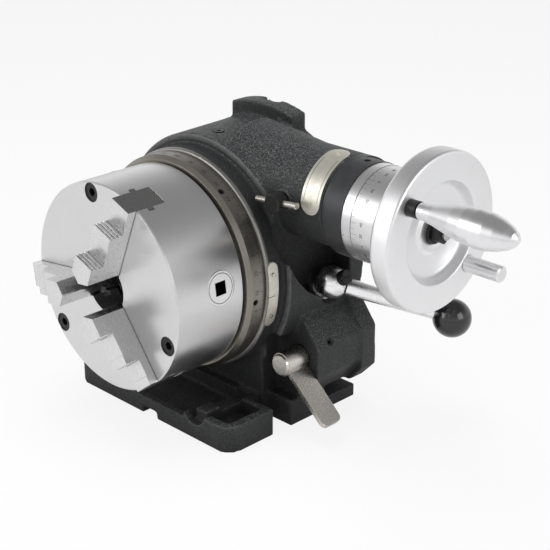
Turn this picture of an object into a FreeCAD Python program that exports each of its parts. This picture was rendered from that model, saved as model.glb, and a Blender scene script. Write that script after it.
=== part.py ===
import FreeCAD, Part
import math
import os
import re

import Sketcher

# Dividing head with a three-jaw scroll chuck, a worm drive and a handwheel.
# X points to the handwheel, Y away from the chuck, Z up. The origin lies on the
# underside of the base, below the spindle, on the line of the two front bolt slots.

Vector = FreeCAD.Vector
Rotation = FreeCAD.Rotation
doc = FreeCAD.newDocument("dividing_head")

# ---------------------------------------------------------------- driving sizes
SIZES = {
    # whole head
    "spindle_height": 121,
    "face_gap": 0.3,
    "running_gap": 0.05,
    "seat_gap": 0.02,
    # chuck
    "chuck_radius": 80,
    "chuck_length": 63.5,
    "chuck_bore": 20,
    "chuck_seat": 30,
    "spigot_radius": 65,
    "spigot_length": 4,
    "chuck_screw_circle": 72,
    "chuck_screw_head": 7.2,
    "chuck_screw_shank": 4,
    "chuck_screw_length": 74,
    "chuck_screw_angle": 99.5,
    "jaw_angle": 67.5,
    "jaw_width": 18.8,
    "jaw_play": 0.25,
    "jaw_tip": 14.5,
    "jaw_rise": 29,
    "jaw_first_step": 34,
    "jaw_middle_rise": 18.5,
    "jaw_second_step": 59,
    "jaw_low_rise": 7.5,
    "jaw_relief": 0.4,
    "jaw_land": 7,
    "jaw_end": 79.5,
    "jaw_in": 12,
    "jaw_out": 14,
    "serration": 1.0,
    "serration_pitch": 3.2,
    "rail_depth": 3,
    "rail_width": 5,
    "rail_place": 9.5,
    # scroll plate and its pinions
    "cavity_radius": 62.3,
    "cavity_place": 22.5,
    "scroll_pitch": 9,
    "scroll_wall": 3.6,
    "scroll_height": 3.2,
    "scroll_inside": 36.5,
    "scroll_turns": 2.25,
    "scroll_plate_radius": 62,
    "rack_depth": 3.5,
    "rack_gap": 0.45,
    "ring_teeth": 63,
    "pinion_teeth": 9,
    "pinion_axis_place": 41.9,
    "pinion_inside": 47,
    "pinion_outside": 61.5,
    "journal_radius": 13,
    "key_square": 10,
    "key_depth": 12,
    "back_thickness": 7.5,
    "back_hub_radius": 34,
    "pin_circle": 74,
    "pin_side": 12.5,
    "pin_thickness": 2.4,
    "edge_bevel": 1,
    # spindle
    "spindle_bore": 16,
    "flange_radius": 78,
    "flange_length": 17.5,
    "journal_front": 42,
    "wheel_seat": 32,
    "journal_rear": 26,
    "spindle_thread": 24,
    "wheel_key": 8,
    # graduated ring on the spindle flange
    "ring_radius": 85,
    "ring_bevel": 3,
    "ring_gap": 1.5,
    "ring_screw": 2.4,
    "ring_screw_angle": -5.6,
    # housing
    "neck_radius": 87,
    "drum_front": 4,
    "drum_radius": 95,
    "drum_taper": 1.5,
    "rear_face": 83.5,
    "front_bush_radius": 52,
    "front_bush_rear": 13,
    "chamber_radius": 55,
    "base_half_width": 90,
    "base_front": 57,
    "base_height": 22,
    "base_corner": 12,
    "base_wall": 8,
    "pedestal_half_width": 66,
    "slot_half_width": 9,
    "slot_round_place": 71,
    "keyway_width": 16,
    "keyway_depth": 6,
    "wing_front": 19.5,
    "flange_front": 67,
    "flange_step": 2,
    "lug_half_width": 33.3,
    "lug_radius": 109,
    "pocket_floor": 76,
    "pocket_radius": 61,
    # worm and worm wheel
    "wheel_module": 2.25,
    "wheel_teeth": 40,
    "wheel_width": 20,
    "wheel_front": 27.5,
    "worm_pitch_radius": 17.5,
    "worm_half_length": 13,
    "worm_shaft": 9,
    "worm_root": 14.8,
    "wheel_shaft": 6,
    "shaft_thread": 4,
    "nut_radius": 7.5,
    "stud_radius": 6,
    "backlash": 0.18,
    "brake_ring_radius": 48.5,
    "brake_ring_width": 7.8,
    "brake_hub_length": 4.7,
    # eccentric sleeve
    "eccentricity": 5,
    "sleeve_radius": 29,
    "sleeve_pilot": 21,
    "sleeve_shoulder": 15,
    "sleeve_end": 38,
    "boss_end": 122,
    "boss_radius": 36,
    "boss_root": 42,
    "sleeve_flange": 6.7,
    "sleeve_neck": 24,
    "worm_bore": 20.5,
    "collar_radius": 36.5,
    "collar_length": 16,
    "vernier_length": 8.3,
    # dial and handwheel
    "dial_radius": 35.8,
    "dial_length": 24.4,
    "wheel_rim": 58,
    "wheel_rim_width": 17,
    "wheel_hub": 16,
    "wheel_dish": 38,
    "grip_offset": 45.6,
    "grip_angle": 142.1,
    "grip_length": 78.7,
    "pin_offset": 43.5,
    "pin_angle": -45.1,
    "pin_radius": 6,
    "pin_length": 30,
    # levers
    "lock_angle": 31,
    "lock_place": 52,
    "lock_offset": 57.7,
    "lock_hub": 73.2,
    "lock_hub_radius": 12.8,
    "lock_bolt": 5,
    "cotter_radius": 10.5,
    "ball_radius": 15,
    "ball_x": 166.5,
    "ball_y": 106.5,
    "ball_z": 85.2,
    "clamp_x": 90.5,
    "clamp_z": 57,
    "clamp_barrel": 9.3,
    "clamp_shaft": 8,
    "clamp_blade": 58,
    "clamp_blade_angle": -41.6,
    "clamp_thickness": 3.5,
    "plunger_place": 24.3,
    "plunger_radius": 3,
    "tee_x": 87,
    "tee_z": 186.4,
    "tee_head": 7.4,
    "tee_bar": 41,
    "tee_shank": 5,
    "tee_tilt": 5.6,
    # small pieces on the housing
    "wing_reach": 109,
    "set_screw_angle": 36.9,
    "set_screw_y": 34,
    "oil_radius": 4,
    "cover_screw_circle": 59.3,
    "zero_length": 52,
    "zero_width": 10,
    "zero_angle": -4.4,
    "zero_screw_angle": 11,
    "plate_lift": 1.2,
    "plate_angle": 136.5,
    "plate_turn": 34,
    "plate_thickness": 0.8,
}

# Places that follow from the sizes, front to rear and inside to outside.
PLACES = {
    "chuck_front": "-chuck_seat - chuck_length",
    "cavity_front": "chuck_front + cavity_place",
    "scroll_front": "cavity_front + face_gap + scroll_height",
    "jaw_floor": "scroll_front - face_gap",
    "pinion_y": "chuck_front + pinion_axis_place",
    "back_rear": "-chuck_seat - spigot_length",
    "back_front": "back_rear - back_thickness",
    "slot_half": "jaw_width / 2 + jaw_play / 2",
    "rail_front": "chuck_front + rail_place",
    "rail_rear": "rail_front + rail_width",
    "flange_rear": "flange_length - chuck_seat",
    "neck_front": "flange_rear + face_gap",
    "wheel_y": "wheel_front + wheel_width / 2",
    "wheel_rear": "wheel_front + wheel_width",
    "wheel_pitch_radius": "wheel_module * wheel_teeth / 2",
    "worm_z": "spindle_height + wheel_pitch_radius + worm_pitch_radius",
    "sleeve_y": "wheel_y + eccentricity",
    "brake_front": "wheel_rear + brake_hub_length",
    "brake_rear": "brake_front + brake_ring_width",
    "chamber_front": "front_bush_rear + 2",
    "cover_front": "sleeve_y + sleeve_radius + 1.5",
    "cover_radius": "chamber_radius + 9",
    "boss_low": "worm_z - boss_root + 3.5",
    "cover_rear": "cover_front + 4.5",
    "cover_hub_front": "cover_front - 11",
    "rear_bush_radius": "journal_rear + 5",
    "nut_front": "cover_rear + face_gap",
    "spindle_rear": "rear_face - 0.7",
    "flange_outer": "boss_end + face_gap + sleeve_flange",
    "vernier_start": "flange_outer + collar_length",
    "dial_start": "vernier_start + vernier_length + face_gap",
    "wheel_start": "dial_start + dial_length",
    "rim_start": "wheel_start + 11",
    "rim_face": "rim_start + wheel_rim_width",
    "grip_start": "rim_face + 8.3",
    "lock_x": "lock_offset * sin(lock_angle)",
    "lock_z": "spindle_height - lock_offset * cos(lock_angle)",
    "lock_seat": "lock_hub - 11",
    "lock_centre_x": "lock_x + lock_hub * cos(lock_angle)",
    "lock_centre_z": "lock_z + lock_hub * sin(lock_angle)",
    "clamp_reach": "sqrt(clamp_x * clamp_x + (spindle_height - clamp_z) * (spindle_height - clamp_z))",
    "clamp_turn": "atan((spindle_height - clamp_z) / clamp_x)",
}

WORD = re.compile(r"[a-z_]+[a-z_0-9]*")
sizes = doc.addObject("Spreadsheet::Sheet", "Sizes")
for row, (word, number) in enumerate(SIZES.items(), start=1):
    sizes.set(f"A{row}", word)
    sizes.set(f"B{row}", str(number))
    sizes.setAlias(f"B{row}", word)
doc.recompute()


def bound(text):
    """Name the sheet of each size or place in an expression."""
    def with_sheet(match):
        word = match.group(0)
        if word in SIZES:
            return "Sizes." + word
        return "Places." + word if word in PLACES else word
    return WORD.sub(with_sheet, str(text))


places = doc.addObject("Spreadsheet::Sheet", "Places")
for row, (word, formula) in enumerate(PLACES.items(), start=1):
    places.set(f"A{row}", word)
    places.set(f"B{row}", "=" + bound(formula).replace("Places.", ""))
    places.setAlias(f"B{row}", word)
scratch = doc.addObject("Spreadsheet::Sheet", "Working")
doc.recompute()


def value(text):
    """Work out the number that an expression of sizes stands for."""
    scratch.set("A1", "=" + bound(text))
    scratch.recompute()
    return float(scratch.get("A1"))


# ------------------------------------------------------------- building helpers
SPINDLE = ("0", "0", "spindle_height")
WORM = ("0", "wheel_y", "worm_z")
SLEEVE = ("0", "sleeve_y", "worm_z")
MIRRORED = Vector(1, 0, 0)
nodes = []


def node(thing, label):
    """Name a finished sub-part, which is written to a file of that name."""
    thing.Label = label
    nodes.append(thing)
    return thing


def place(thing, toward, centre, start="0"):
    """Turn a thing's own Z axis along Y, or along an angle in the XZ plane."""
    x, y, z = centre
    if toward == "Y":
        thing.Placement.Rotation = Rotation(Vector(1, 0, 0), -90)
        y = f"{y} + ({start})"
    else:
        thing.Placement.Rotation = Rotation(Vector(0, 1, 0), 90 - value(toward))
        x = f"{x} + ({start}) * cos({toward})"
        z = f"{z} + ({start}) * sin({toward})"
    for part, text in zip("xyz", (x, y, z)):
        thing.setExpression("Placement.Base." + part, bound(text))
    return thing


def rod(radius, start, end, toward="Y", centre=SPINDLE):
    """A cylinder from start to end along a direction through a centre."""
    thing = doc.addObject("Part::Cylinder", "rod")
    thing.setExpression("Radius", bound(radius))
    thing.setExpression("Height", bound(f"({end}) - ({start})"))
    return place(thing, toward, centre, start)


def box(x, y, z):
    """A block between two places on each axis."""
    thing = doc.addObject("Part::Box", "block")
    for part, length, (low, high) in zip("xyz", ("Length", "Width", "Height"), (x, y, z)):
        thing.setExpression(length, bound(f"({high}) - ({low})"))
        thing.setExpression("Placement.Base." + part, bound(low))
    return thing


def spun_box(half_width, low, high, start, end, angle):
    """A block across a radius of the spindle: its Z axis is that radius."""
    thing = doc.addObject("Part::Box", "block")
    thing.setExpression("Length", bound(f"2 * ({half_width})"))
    thing.setExpression("Width", bound(f"({end}) - ({start})"))
    thing.setExpression("Height", bound(f"({high}) - ({low})"))
    thing.Placement.Rotation = Rotation(Vector(0, 1, 0), 90 - value(angle))
    across = f"({low}) * cos({angle}) - ({half_width}) * sin({angle})"
    upward = f"spindle_height + ({low}) * sin({angle}) + ({half_width}) * cos({angle})"
    for part, text in zip("xyz", (across, start, upward)):
        thing.setExpression("Placement.Base." + part, bound(text))
    return thing


def fuse(*things):
    """Join things into one."""
    joined = doc.addObject("Part::MultiFuse", "joined")
    joined.Shapes = list(things)
    return joined


def cut(base, *tools):
    """Take tools out of a base, one after another."""
    for tool in tools:
        left = doc.addObject("Part::Cut", "cut")
        left.Base = base
        left.Tool = tool
        base = left
    return base


def common(one, other):
    """Keep what two things share."""
    shared = doc.addObject("Part::MultiCommon", "shared")
    shared.Shapes = [one, other]
    return shared


def group(*things):
    """Keep several separate pieces in one sub-part."""
    held = doc.addObject("Part::Compound", "held")
    held.Links = list(things)
    return held


def mirrored(thing):
    """The same thing on the other side of the middle plane."""
    other = doc.addObject("Part::Mirroring", "mirrored")
    other.Source = thing
    other.Base = Vector(0, 0, 0)
    other.Normal = MIRRORED
    return other


def sketch_on(body, role, outline):
    """Draw a closed outline of (across, up) expressions on a plane of a body."""
    plane = [item for item in body.Origin.OriginFeatures if item.Role == role][0]
    sketch = body.newObject("Sketcher::SketchObject", "outline")
    sketch.AttachmentSupport = [(plane, "")]
    sketch.MapMode = "FlatFace"
    points = [Vector(value(across), value(up), 0) for across, up in outline]
    ends = points[1:] + points[:1]
    sketch.addGeometry([Part.LineSegment(one, two) for one, two in zip(points, ends)])
    rules = []
    texts = []
    for index, (point, (across, up)) in enumerate(zip(points, outline)):
        rules.append(Sketcher.Constraint("Coincident", index, 2, (index + 1) % len(points), 1))
        texts.append(None)
        rules.append(Sketcher.Constraint("DistanceX", -1, 1, index, 1, point.x))
        texts.append(bound(across))
        rules.append(Sketcher.Constraint("DistanceY", -1, 1, index, 1, point.y))
        texts.append(bound(up))
    sketch.addConstraint(rules)
    for index, text in enumerate(texts):
        if text:
            sketch.setExpression(f"Constraints[{index}]", text)
    return sketch


def turned(outline, toward="Y", centre=SPINDLE):
    """A turned body. The outline holds (place along the axis, radius) pairs."""
    body = doc.addObject("PartDesign::Body", "turned")
    sketch = sketch_on(body, "XZ_Plane", [(radius, along) for along, radius in outline])
    revolution = body.newObject("PartDesign::Revolution", "revolution")
    revolution.Profile = sketch
    revolution.ReferenceAxis = (sketch, ["V_Axis"])
    revolution.Angle = 360
    return place(body, toward, centre)


def plate(outline, start, end, across="Y"):
    """A flat body with an outline, between two places along X, Y or Z."""
    body = doc.addObject("PartDesign::Body", "plate")
    sketch = sketch_on(body, "XY_Plane", outline)
    pad = body.newObject("PartDesign::Pad", "pad")
    pad.Profile = sketch
    pad.setExpression("Length", bound(f"({end}) - ({start})"))
    turn = {"X": Rotation(Vector(1, 1, 1), 120), "Y": Rotation(Vector(1, 0, 0), 90),
            "Z": Rotation()}[across]
    body.Placement.Rotation = turn
    base = end if across == "Y" else start
    body.setExpression("Placement.Base." + across.lower(), bound(base))
    return body


def rounded(body, radius, wanted, kind="PartDesign::Fillet"):
    """Round or bevel the edges of a body whose middle and direction are wanted."""
    doc.recompute()
    tip = body.Tip
    names = [f"Edge{number}" for number, edge in enumerate(tip.Shape.Edges, start=1)
             if wanted(edge)]
    corner = body.newObject(kind, "corner")
    corner.Base = (tip, names)
    corner.setExpression("Radius" if kind == "PartDesign::Fillet" else "Size", bound(radius))
    return body


def rim(radius, along):
    """Choose the round edges of a turned body at a radius and a place."""
    size = value(radius)
    level = value(along)

    def wanted(edge):
        round_edge = hasattr(edge.Curve, "Radius")
        return round_edge and abs(edge.Curve.Radius - size) < 0.001 and \
            abs(edge.BoundBox.Center.z - level) < 0.001
    return wanted


def ring(inside, outside, start, end, toward="Y", centre=SPINDLE):
    """A plain ring or bush."""
    return turned([(start, inside), (start, outside), (end, outside), (end, inside)],
                  toward, centre)


def shaped(shape):
    """An object that holds a shape worked out from the sheet's sizes."""
    thing = doc.addObject("Part::Feature", "shaped")
    thing.Shape = shape
    return thing


def polyhedron(points, faces):
    """A solid with flat faces."""
    flats = [Part.Face(Part.makePolygon([points[i] for i in face + face[:1]])) for face in faces]
    return Part.makeSolid(Part.makeShell(flats))


def socket_screw(head, shank, length, start, toward, centre):
    """A cap screw with a hexagon socket; start is the place of its head's top."""
    grip = f"({start}) + 2 * ({shank})"
    solid = turned([(start, "0"), (start, head), (grip, head), (grip, shank),
                    (f"({start}) + ({length})", shank), (f"({start}) + ({length})", "0")],
                   toward, centre)
    key = doc.addObject("Part::Prism", "socket")
    key.Polygon = 6
    key.setExpression("Circumradius", bound(f"({shank}) * 0.85"))
    key.setExpression("Height", bound(f"({shank}) * 1.1"))
    place(key, toward, centre, start)
    return cut(solid, key)


def on_circle(radius, angle, along="0"):
    """A point on a circle about the spindle."""
    return (f"({radius}) * cos({angle})", along, f"spindle_height + ({radius}) * sin({angle})")


THIRDS = (0, 120, 240)
SIXTHS = (0, 60, 120, 180, 240, 300)
# The cover's screws keep clear of the sleeve's bore, which crosses the chamber on top.
COVER_TURNS = (40, 140, 220, 320)


# ------------------------------------------------------------------------ chuck
def jaw_slots():
    """Three radial slots with a guide groove in each wall, as tools for cutting."""
    tools = []
    for turn in THIRDS:
        angle = f"jaw_angle + {turn}"
        tools.append(spun_box("slot_half", "0", "chuck_radius + 1", "chuck_front - 1",
                              "scroll_front", angle))
        tools.append(spun_box("slot_half + rail_depth", "0", "chuck_radius + 1", "rail_front",
                              "rail_rear", angle))
    return tools


def pinion_pin(radius, start, end, turn):
    """A pin along the spindle's direction, at the side of a pinion's journal."""
    angle = f"(jaw_angle + {turn} - 60)"
    x = f"pin_circle * cos{angle} - pin_side * sin{angle}"
    z = f"spindle_height + pin_circle * sin{angle} + pin_side * cos{angle}"
    return rod(radius, start, end, "Y", (x, "0", z))


def chuck_body():
    """The chuck's body: slots, scroll cavity, pinion bores and counterbored holes."""
    form = turned([("chuck_front", "chuck_bore"), ("chuck_front", "chuck_radius"),
                   ("-chuck_seat", "chuck_radius"), ("-chuck_seat", "spigot_radius + seat_gap"),
                   ("back_front", "spigot_radius + seat_gap"), ("back_front", "cavity_radius"),
                   ("cavity_front", "cavity_radius"), ("cavity_front", "chuck_bore")])
    for along in ("chuck_front", "-chuck_seat"):
        rounded(form, "edge_bevel", rim("chuck_radius", along), "PartDesign::Chamfer")
    tools = jaw_slots()
    for turn in THIRDS:
        spot = on_circle("chuck_screw_circle", f"(chuck_screw_angle + {turn})")
        tools.append(rod("chuck_screw_head + 0.15", "chuck_front - 1",
                         "chuck_front + 2 * chuck_screw_shank + 1", "Y", spot))
        tools.append(rod("chuck_screw_shank + seat_gap", "chuck_front", "1 - chuck_seat", "Y",
                         spot))
        tools.append(rod("journal_radius + running_gap", "pinion_outside - 1", "chuck_radius + 1",
                         f"jaw_angle + {turn} - 60", ("0", "pinion_y", "spindle_height")))
        tools.append(pinion_pin("pin_thickness", "pinion_y - pin_thickness * 2",
                                "1 - chuck_seat", turn))
    node(cut(form, *tools), "chuck_body")


def chuck_back():
    """The plate that closes the scroll cavity, with the hub that the scroll turns on."""
    form = turned([("back_front", "back_hub_radius"), ("back_front", "spigot_radius"),
                   ("back_rear", "spigot_radius"), ("back_rear", "chuck_bore"),
                   ("scroll_front", "chuck_bore"), ("scroll_front", "back_hub_radius")])
    notches = [rod("journal_radius + 2 * running_gap", "pinion_inside - 1", "chuck_radius",
                   f"jaw_angle + {turn} - 60", ("0", "pinion_y", "spindle_height"))
               for turn in THIRDS]
    node(cut(form, *notches), "chuck_back")


def chuck_fasteners():
    """Three long cap screws that hold the chuck, and the pins that keep the pinions."""
    screws = [socket_screw("chuck_screw_head", "chuck_screw_shank", "chuck_screw_length",
                           "chuck_front + 1", "Y",
                           on_circle("chuck_screw_circle", f"(chuck_screw_angle + {turn})"))
              for turn in THIRDS]
    node(group(*screws), "chuck_screws")
    pins = [pinion_pin("pin_thickness - seat_gap", "pinion_y - pin_thickness * 2 + face_gap",
                       "-chuck_seat - face_gap", turn) for turn in THIRDS]
    node(group(*pins), "pinion_pins")


def serrated_profile():
    """Side view of a jaw from tip to end: (radius, place along the spindle)."""
    top = "chuck_front - jaw_rise"
    middle = "chuck_front - jaw_middle_rise"
    low = "chuck_front - jaw_low_rise"
    outline = [("jaw_tip", "jaw_floor"), ("jaw_tip", top)]
    for step, start, end in (("jaw_first_step", top, middle), ("jaw_second_step", middle, low),
                             ("jaw_end", low, "jaw_floor")):
        if start != top:
            outline += [(f"{step} - jaw_land - jaw_relief", f"{start} + jaw_relief"),
                        (f"{step} - jaw_land", start)]
        outline.append((step, start))
        if step == "jaw_end":
            continue
        for count in range(3):
            groove = f"{start} + ({count} + 0.5) * serration_pitch"
            outline += [(step, f"{groove} - serration / 2"), (f"{step} - serration", groove),
                        (step, f"{groove} + serration / 2")]
        outline.append((step, f"{end} + jaw_relief"))
    return outline + [("jaw_end", "jaw_floor")]


def rack_space(radius, half_width, front):
    """A curved space across a jaw that clears the spiral ridge over the jaw's travel."""
    half_wall = value("scroll_wall / 2 + rack_gap")
    least = max(value("scroll_inside + scroll_wall / 2"), radius - value("jaw_in"))
    most = min(value("scroll_inside + scroll_wall / 2 + scroll_pitch * scroll_turns"),
               radius + value("jaw_out"))
    if most < least:
        return None
    slope = value("scroll_pitch") / math.pi / (least + most)
    sides = [half_width * part / 3 for part in range(-3, 4)]

    def wall(reference, offset):
        bend = reference + offset
        return [Vector(side, front, radius + offset - slope * side
                       + math.sqrt(bend * bend - side * side) - bend) for side in sides]
    points = wall(most, half_wall) + wall(least, -half_wall)[::-1]
    face = Part.Face(Part.makePolygon(points + points[:1]))
    return face.extrude(Vector(0, value("rack_depth") + 1, 0))


def jaw(number):
    """One stepped jaw. Its own X runs across it, Y along the spindle and Z outward."""
    half = value("jaw_width / 2")
    outline = [Vector(-half, value(along), value(radius)) for radius, along in serrated_profile()]
    blank = Part.Face(Part.makePolygon(outline + outline[:1])).extrude(Vector(2 * half, 0, 0))
    tip = value("jaw_tip")
    shoulder = tip + value("jaw_width / 2 * tan(30)")
    rail_half = value("slot_half + rail_depth - jaw_play")
    rail_start = value("rail_front + jaw_play")
    rail_inner = shoulder + value("rail_depth")
    blank = blank.fuse(Part.makeBox(2 * rail_half, value("rail_width - 2 * jaw_play"),
                                    value("jaw_end") - rail_inner,
                                    Vector(-rail_half, rail_start, rail_inner)))
    top = value("chuck_front - jaw_rise - 1")
    for side in (-1, 1):
        corner = [Vector(side * 0.5, top, tip - 1), Vector(side * (half + 1), top, tip - 1),
                  Vector(side * (half + 1), top, shoulder + math.tan(math.radians(30))),
                  Vector(side * 0.5, top, tip + 0.5 * math.tan(math.radians(30)))]
        wedge = Part.Face(Part.makePolygon(corner + corner[:1]))
        blank = blank.cut(wedge.extrude(Vector(0, value("jaw_floor") - top + 1, 0)))
    pitch = value("scroll_pitch")
    first = value("scroll_inside + scroll_wall / 2") + (number - 1) * pitch / 3
    for step in range(-4, 6):
        radius = first + step * pitch
        space = rack_space(radius, rail_half + 1, value("jaw_floor - rack_depth"))
        if space and tip - pitch < radius < value("jaw_end") + pitch:
            blank = blank.cut(space)
    thing = shaped(blank)
    thing.Placement = FreeCAD.Placement(Vector(0, 0, value("spindle_height")),
                                        Rotation(Vector(0, 1, 0), value("90 - jaw_angle")
                                                 - THIRDS[number - 1]))
    node(thing, f"jaw_{number}")


def spiral_ridge():
    """The scroll's spiral ridge: its radius grows by one pitch in each turn."""
    start = value("jaw_angle")
    turns = value("scroll_turns")
    count = 2 * int(8 * turns)

    def edge(radius):
        points = []
        for step in range(count + 1):
            part = turns * step / count
            angle = math.radians(start + 360 * part)
            reach = radius + value("scroll_pitch") * part
            points.append(Vector(reach * math.cos(angle), 0, reach * math.sin(angle)))
        arcs = [Part.Arc(*points[i:i + 3]).toShape() for i in range(0, count, 2)]
        return arcs, points
    inner, inner_points = edge(value("scroll_inside"))
    outer, outer_points = edge(value("scroll_inside + scroll_wall"))
    ends = [Part.makeLine(inner_points[i], outer_points[i]) for i in (0, -1)]
    face = Part.Face(Part.Wire(inner + [ends[1]] + outer[::-1] + [ends[0]]))
    ridge = face.extrude(Vector(0, value("scroll_height + 0.5"), 0))
    ridge.translate(Vector(0, value("scroll_front - scroll_height"), value("spindle_height")))
    return ridge


def bevel_tooth(inside, outside, rows):
    """A straight bevel tooth along X. Each row holds its (half thickness, depth) ratios."""
    points = []
    for reach in (inside, outside):
        (low_half, low), (mid_half, mid), (high_half, high) = rows
        for half, depth in ((-low_half, low), (-mid_half, mid), (-high_half, high),
                            (high_half, high), (mid_half, mid), (low_half, low)):
            points.append(Vector(reach, half * reach, depth * reach))
    sides = [[i, (i + 1) % 6, (i + 1) % 6 + 6, i + 6] for i in range(6)]
    return polyhedron(points, [[0, 1, 2, 3, 4, 5], [6, 7, 8, 9, 10, 11]] + sides)


def scroll_plate():
    """The scroll: a spiral ridge in front and a ring of bevel teeth behind."""
    teeth = value("ring_teeth")
    module = 2 / teeth
    ratio = value("pinion_teeth") / teeth
    root = ratio + 1.05 * module
    plate_form = turned([("scroll_front", "back_hub_radius + running_gap"),
                         ("scroll_front", "scroll_plate_radius"),
                         (f"pinion_y - {root} * pinion_outside", "scroll_plate_radius"),
                         (f"pinion_y - {root} * pinion_outside", "pinion_outside"),
                         (f"pinion_y - {root} * pinion_inside", "pinion_inside"),
                         (f"pinion_y - {root} * pinion_inside", "back_hub_radius + running_gap")])
    tooth = bevel_tooth(value("pinion_inside + 0.4"), value("pinion_outside - 0.4"),
                        ((0.98 * module, -root - 0.12 * module), (0.62 * module, -ratio),
                         (0.31 * module, -ratio + 0.85 * module)))
    tooth.rotate(Vector(), Vector(1, 0, 0), -90)
    doc.recompute()
    solids = [spiral_ridge()]
    for count in range(int(teeth)):
        copy = tooth.copy()
        angle = value("jaw_angle - 60") + 360 * (count + 0.5) / teeth
        copy.rotate(Vector(), Vector(0, 1, 0), -angle)
        copy.translate(Vector(0, value("pinion_y"), value("spindle_height")))
        solids.append(copy)
    node(shaped(plate_form.Shape.fuse(solids)), "scroll_plate")


def chuck_pinion(number):
    """A bevel pinion with a journal in the chuck's wall and a square key socket."""
    module = 2 / value("ring_teeth")
    ratio = value("pinion_teeth / ring_teeth")
    root = ratio - 1.05 * module
    groove = "pin_side - pin_thickness - 0.2"
    centre = ("0", "0", "0")
    form = turned([("pinion_inside", "0"), ("pinion_inside", f"{root} * pinion_inside"),
                   ("pinion_outside", f"{root} * pinion_outside"),
                   ("scroll_plate_radius + 0.4", f"{root} * pinion_outside"),
                   ("scroll_plate_radius + 0.4", "journal_radius"),
                   ("pin_circle - pin_thickness - 0.2", "journal_radius"),
                   ("pin_circle - pin_thickness - 0.2", groove),
                   ("pin_circle + pin_thickness + 0.2", groove),
                   ("pin_circle + pin_thickness + 0.2", "journal_radius"),
                   ("jaw_end", "journal_radius"), ("jaw_end", "0")], "90", centre)
    half = "key_square / 2"
    socket = box((f"-{half}", half), (f"-{half}", half), ("jaw_end - key_depth", "jaw_end + 1"))
    solid = cut(form, socket)
    doc.recompute()
    tooth = bevel_tooth(value("pinion_inside"), value("pinion_outside"),
                        ((0.75 * module, root - 0.15 * module), (0.6 * module, ratio),
                         (0.3 * module, ratio + 0.85 * module)))
    tooth.rotate(Vector(), Vector(0, 1, 0), -90)
    teeth = []
    for count in range(int(value("pinion_teeth"))):
        copy = tooth.copy()
        copy.rotate(Vector(), Vector(0, 0, 1), 360 * count / value("pinion_teeth") + 90)
        teeth.append(copy)
    thing = shaped(solid.Shape.fuse(teeth))
    angle = value("jaw_angle - 60") + THIRDS[number - 1]
    thing.Placement = FreeCAD.Placement(Vector(0, value("pinion_y"), value("spindle_height")),
                                        Rotation(Vector(0, 1, 0), 90 - angle))
    node(thing, f"chuck_pinion_{number}")


# ---------------------------------------------------------------------- spindle
def spindle():
    """The hollow spindle: front journal, wheel seat, rear journal and thread."""
    form = turned([("back_rear", "spindle_bore"), ("back_rear", "journal_front"),
                   ("wheel_front", "journal_front"), ("wheel_front", "wheel_seat"),
                   ("brake_rear", "wheel_seat"), ("brake_rear", "journal_rear"),
                   ("cover_rear", "journal_rear"), ("cover_rear", "spindle_thread"),
                   ("spindle_rear", "spindle_thread"), ("spindle_rear", "spindle_bore")])
    rounded(form, "edge_bevel", rim("spindle_thread", "spindle_rear"), "PartDesign::Chamfer")
    keyway = box(("-wheel_key / 2", "wheel_key / 2"), ("wheel_front", "brake_rear + 1"),
                 ("spindle_height - wheel_seat - 5", "spindle_height - wheel_seat + 3"))
    node(cut(form, keyway), "spindle")


def spindle_flange():
    """The flange shrunk on the spindle: a spigot and the chuck's three screw holes."""
    form = turned([("back_rear", "journal_front + seat_gap"), ("back_rear", "spigot_radius"),
                   ("-chuck_seat", "spigot_radius"), ("-chuck_seat", "flange_radius"),
                   ("flange_rear", "flange_radius"), ("flange_rear", "journal_front + seat_gap")])
    holes = [rod("chuck_screw_shank + seat_gap", "-chuck_seat - 1",
                 "chuck_front + chuck_screw_length + 2", "Y",
                 on_circle("chuck_screw_circle", f"(chuck_screw_angle + {turn})"))
             for turn in THIRDS]
    node(cut(form, *holes), "spindle_flange")


def spindle_rings():
    """What sits on the spindle: key, brake ring and the slotted nut behind."""
    side = "wheel_key / 2 - seat_gap"
    node(box((f"-({side})", side), ("wheel_front + face_gap", "brake_rear - face_gap"),
             ("spindle_height - wheel_seat - 2.8", "spindle_height - wheel_seat + 2.8")),
         "wheel_key")
    slot = box(("-wheel_key / 2", "wheel_key / 2"), ("wheel_rear - 1", "brake_rear + 1"),
               ("spindle_height - wheel_seat - 3", "spindle_height"))
    form = turned([("wheel_rear", "wheel_seat + seat_gap"), ("wheel_rear", "wheel_seat + 8"),
                   ("brake_front", "wheel_seat + 8"), ("brake_front", "brake_ring_radius"),
                   ("brake_rear", "brake_ring_radius"), ("brake_rear", "wheel_seat + seat_gap")])
    node(cut(form, slot), "brake_ring")
    nut = ring("spindle_thread + seat_gap", "rear_bush_radius + 3", "nut_front", "spindle_rear")
    slots = [spun_box("2.5", "rear_bush_radius", "rear_bush_radius + 5", "nut_front - 1",
                      "spindle_rear + 1", str(turn)) for turn in SIXTHS[::3] + SIXTHS[1::3]]
    node(cut(nut, *slots), "spindle_nut")


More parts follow.
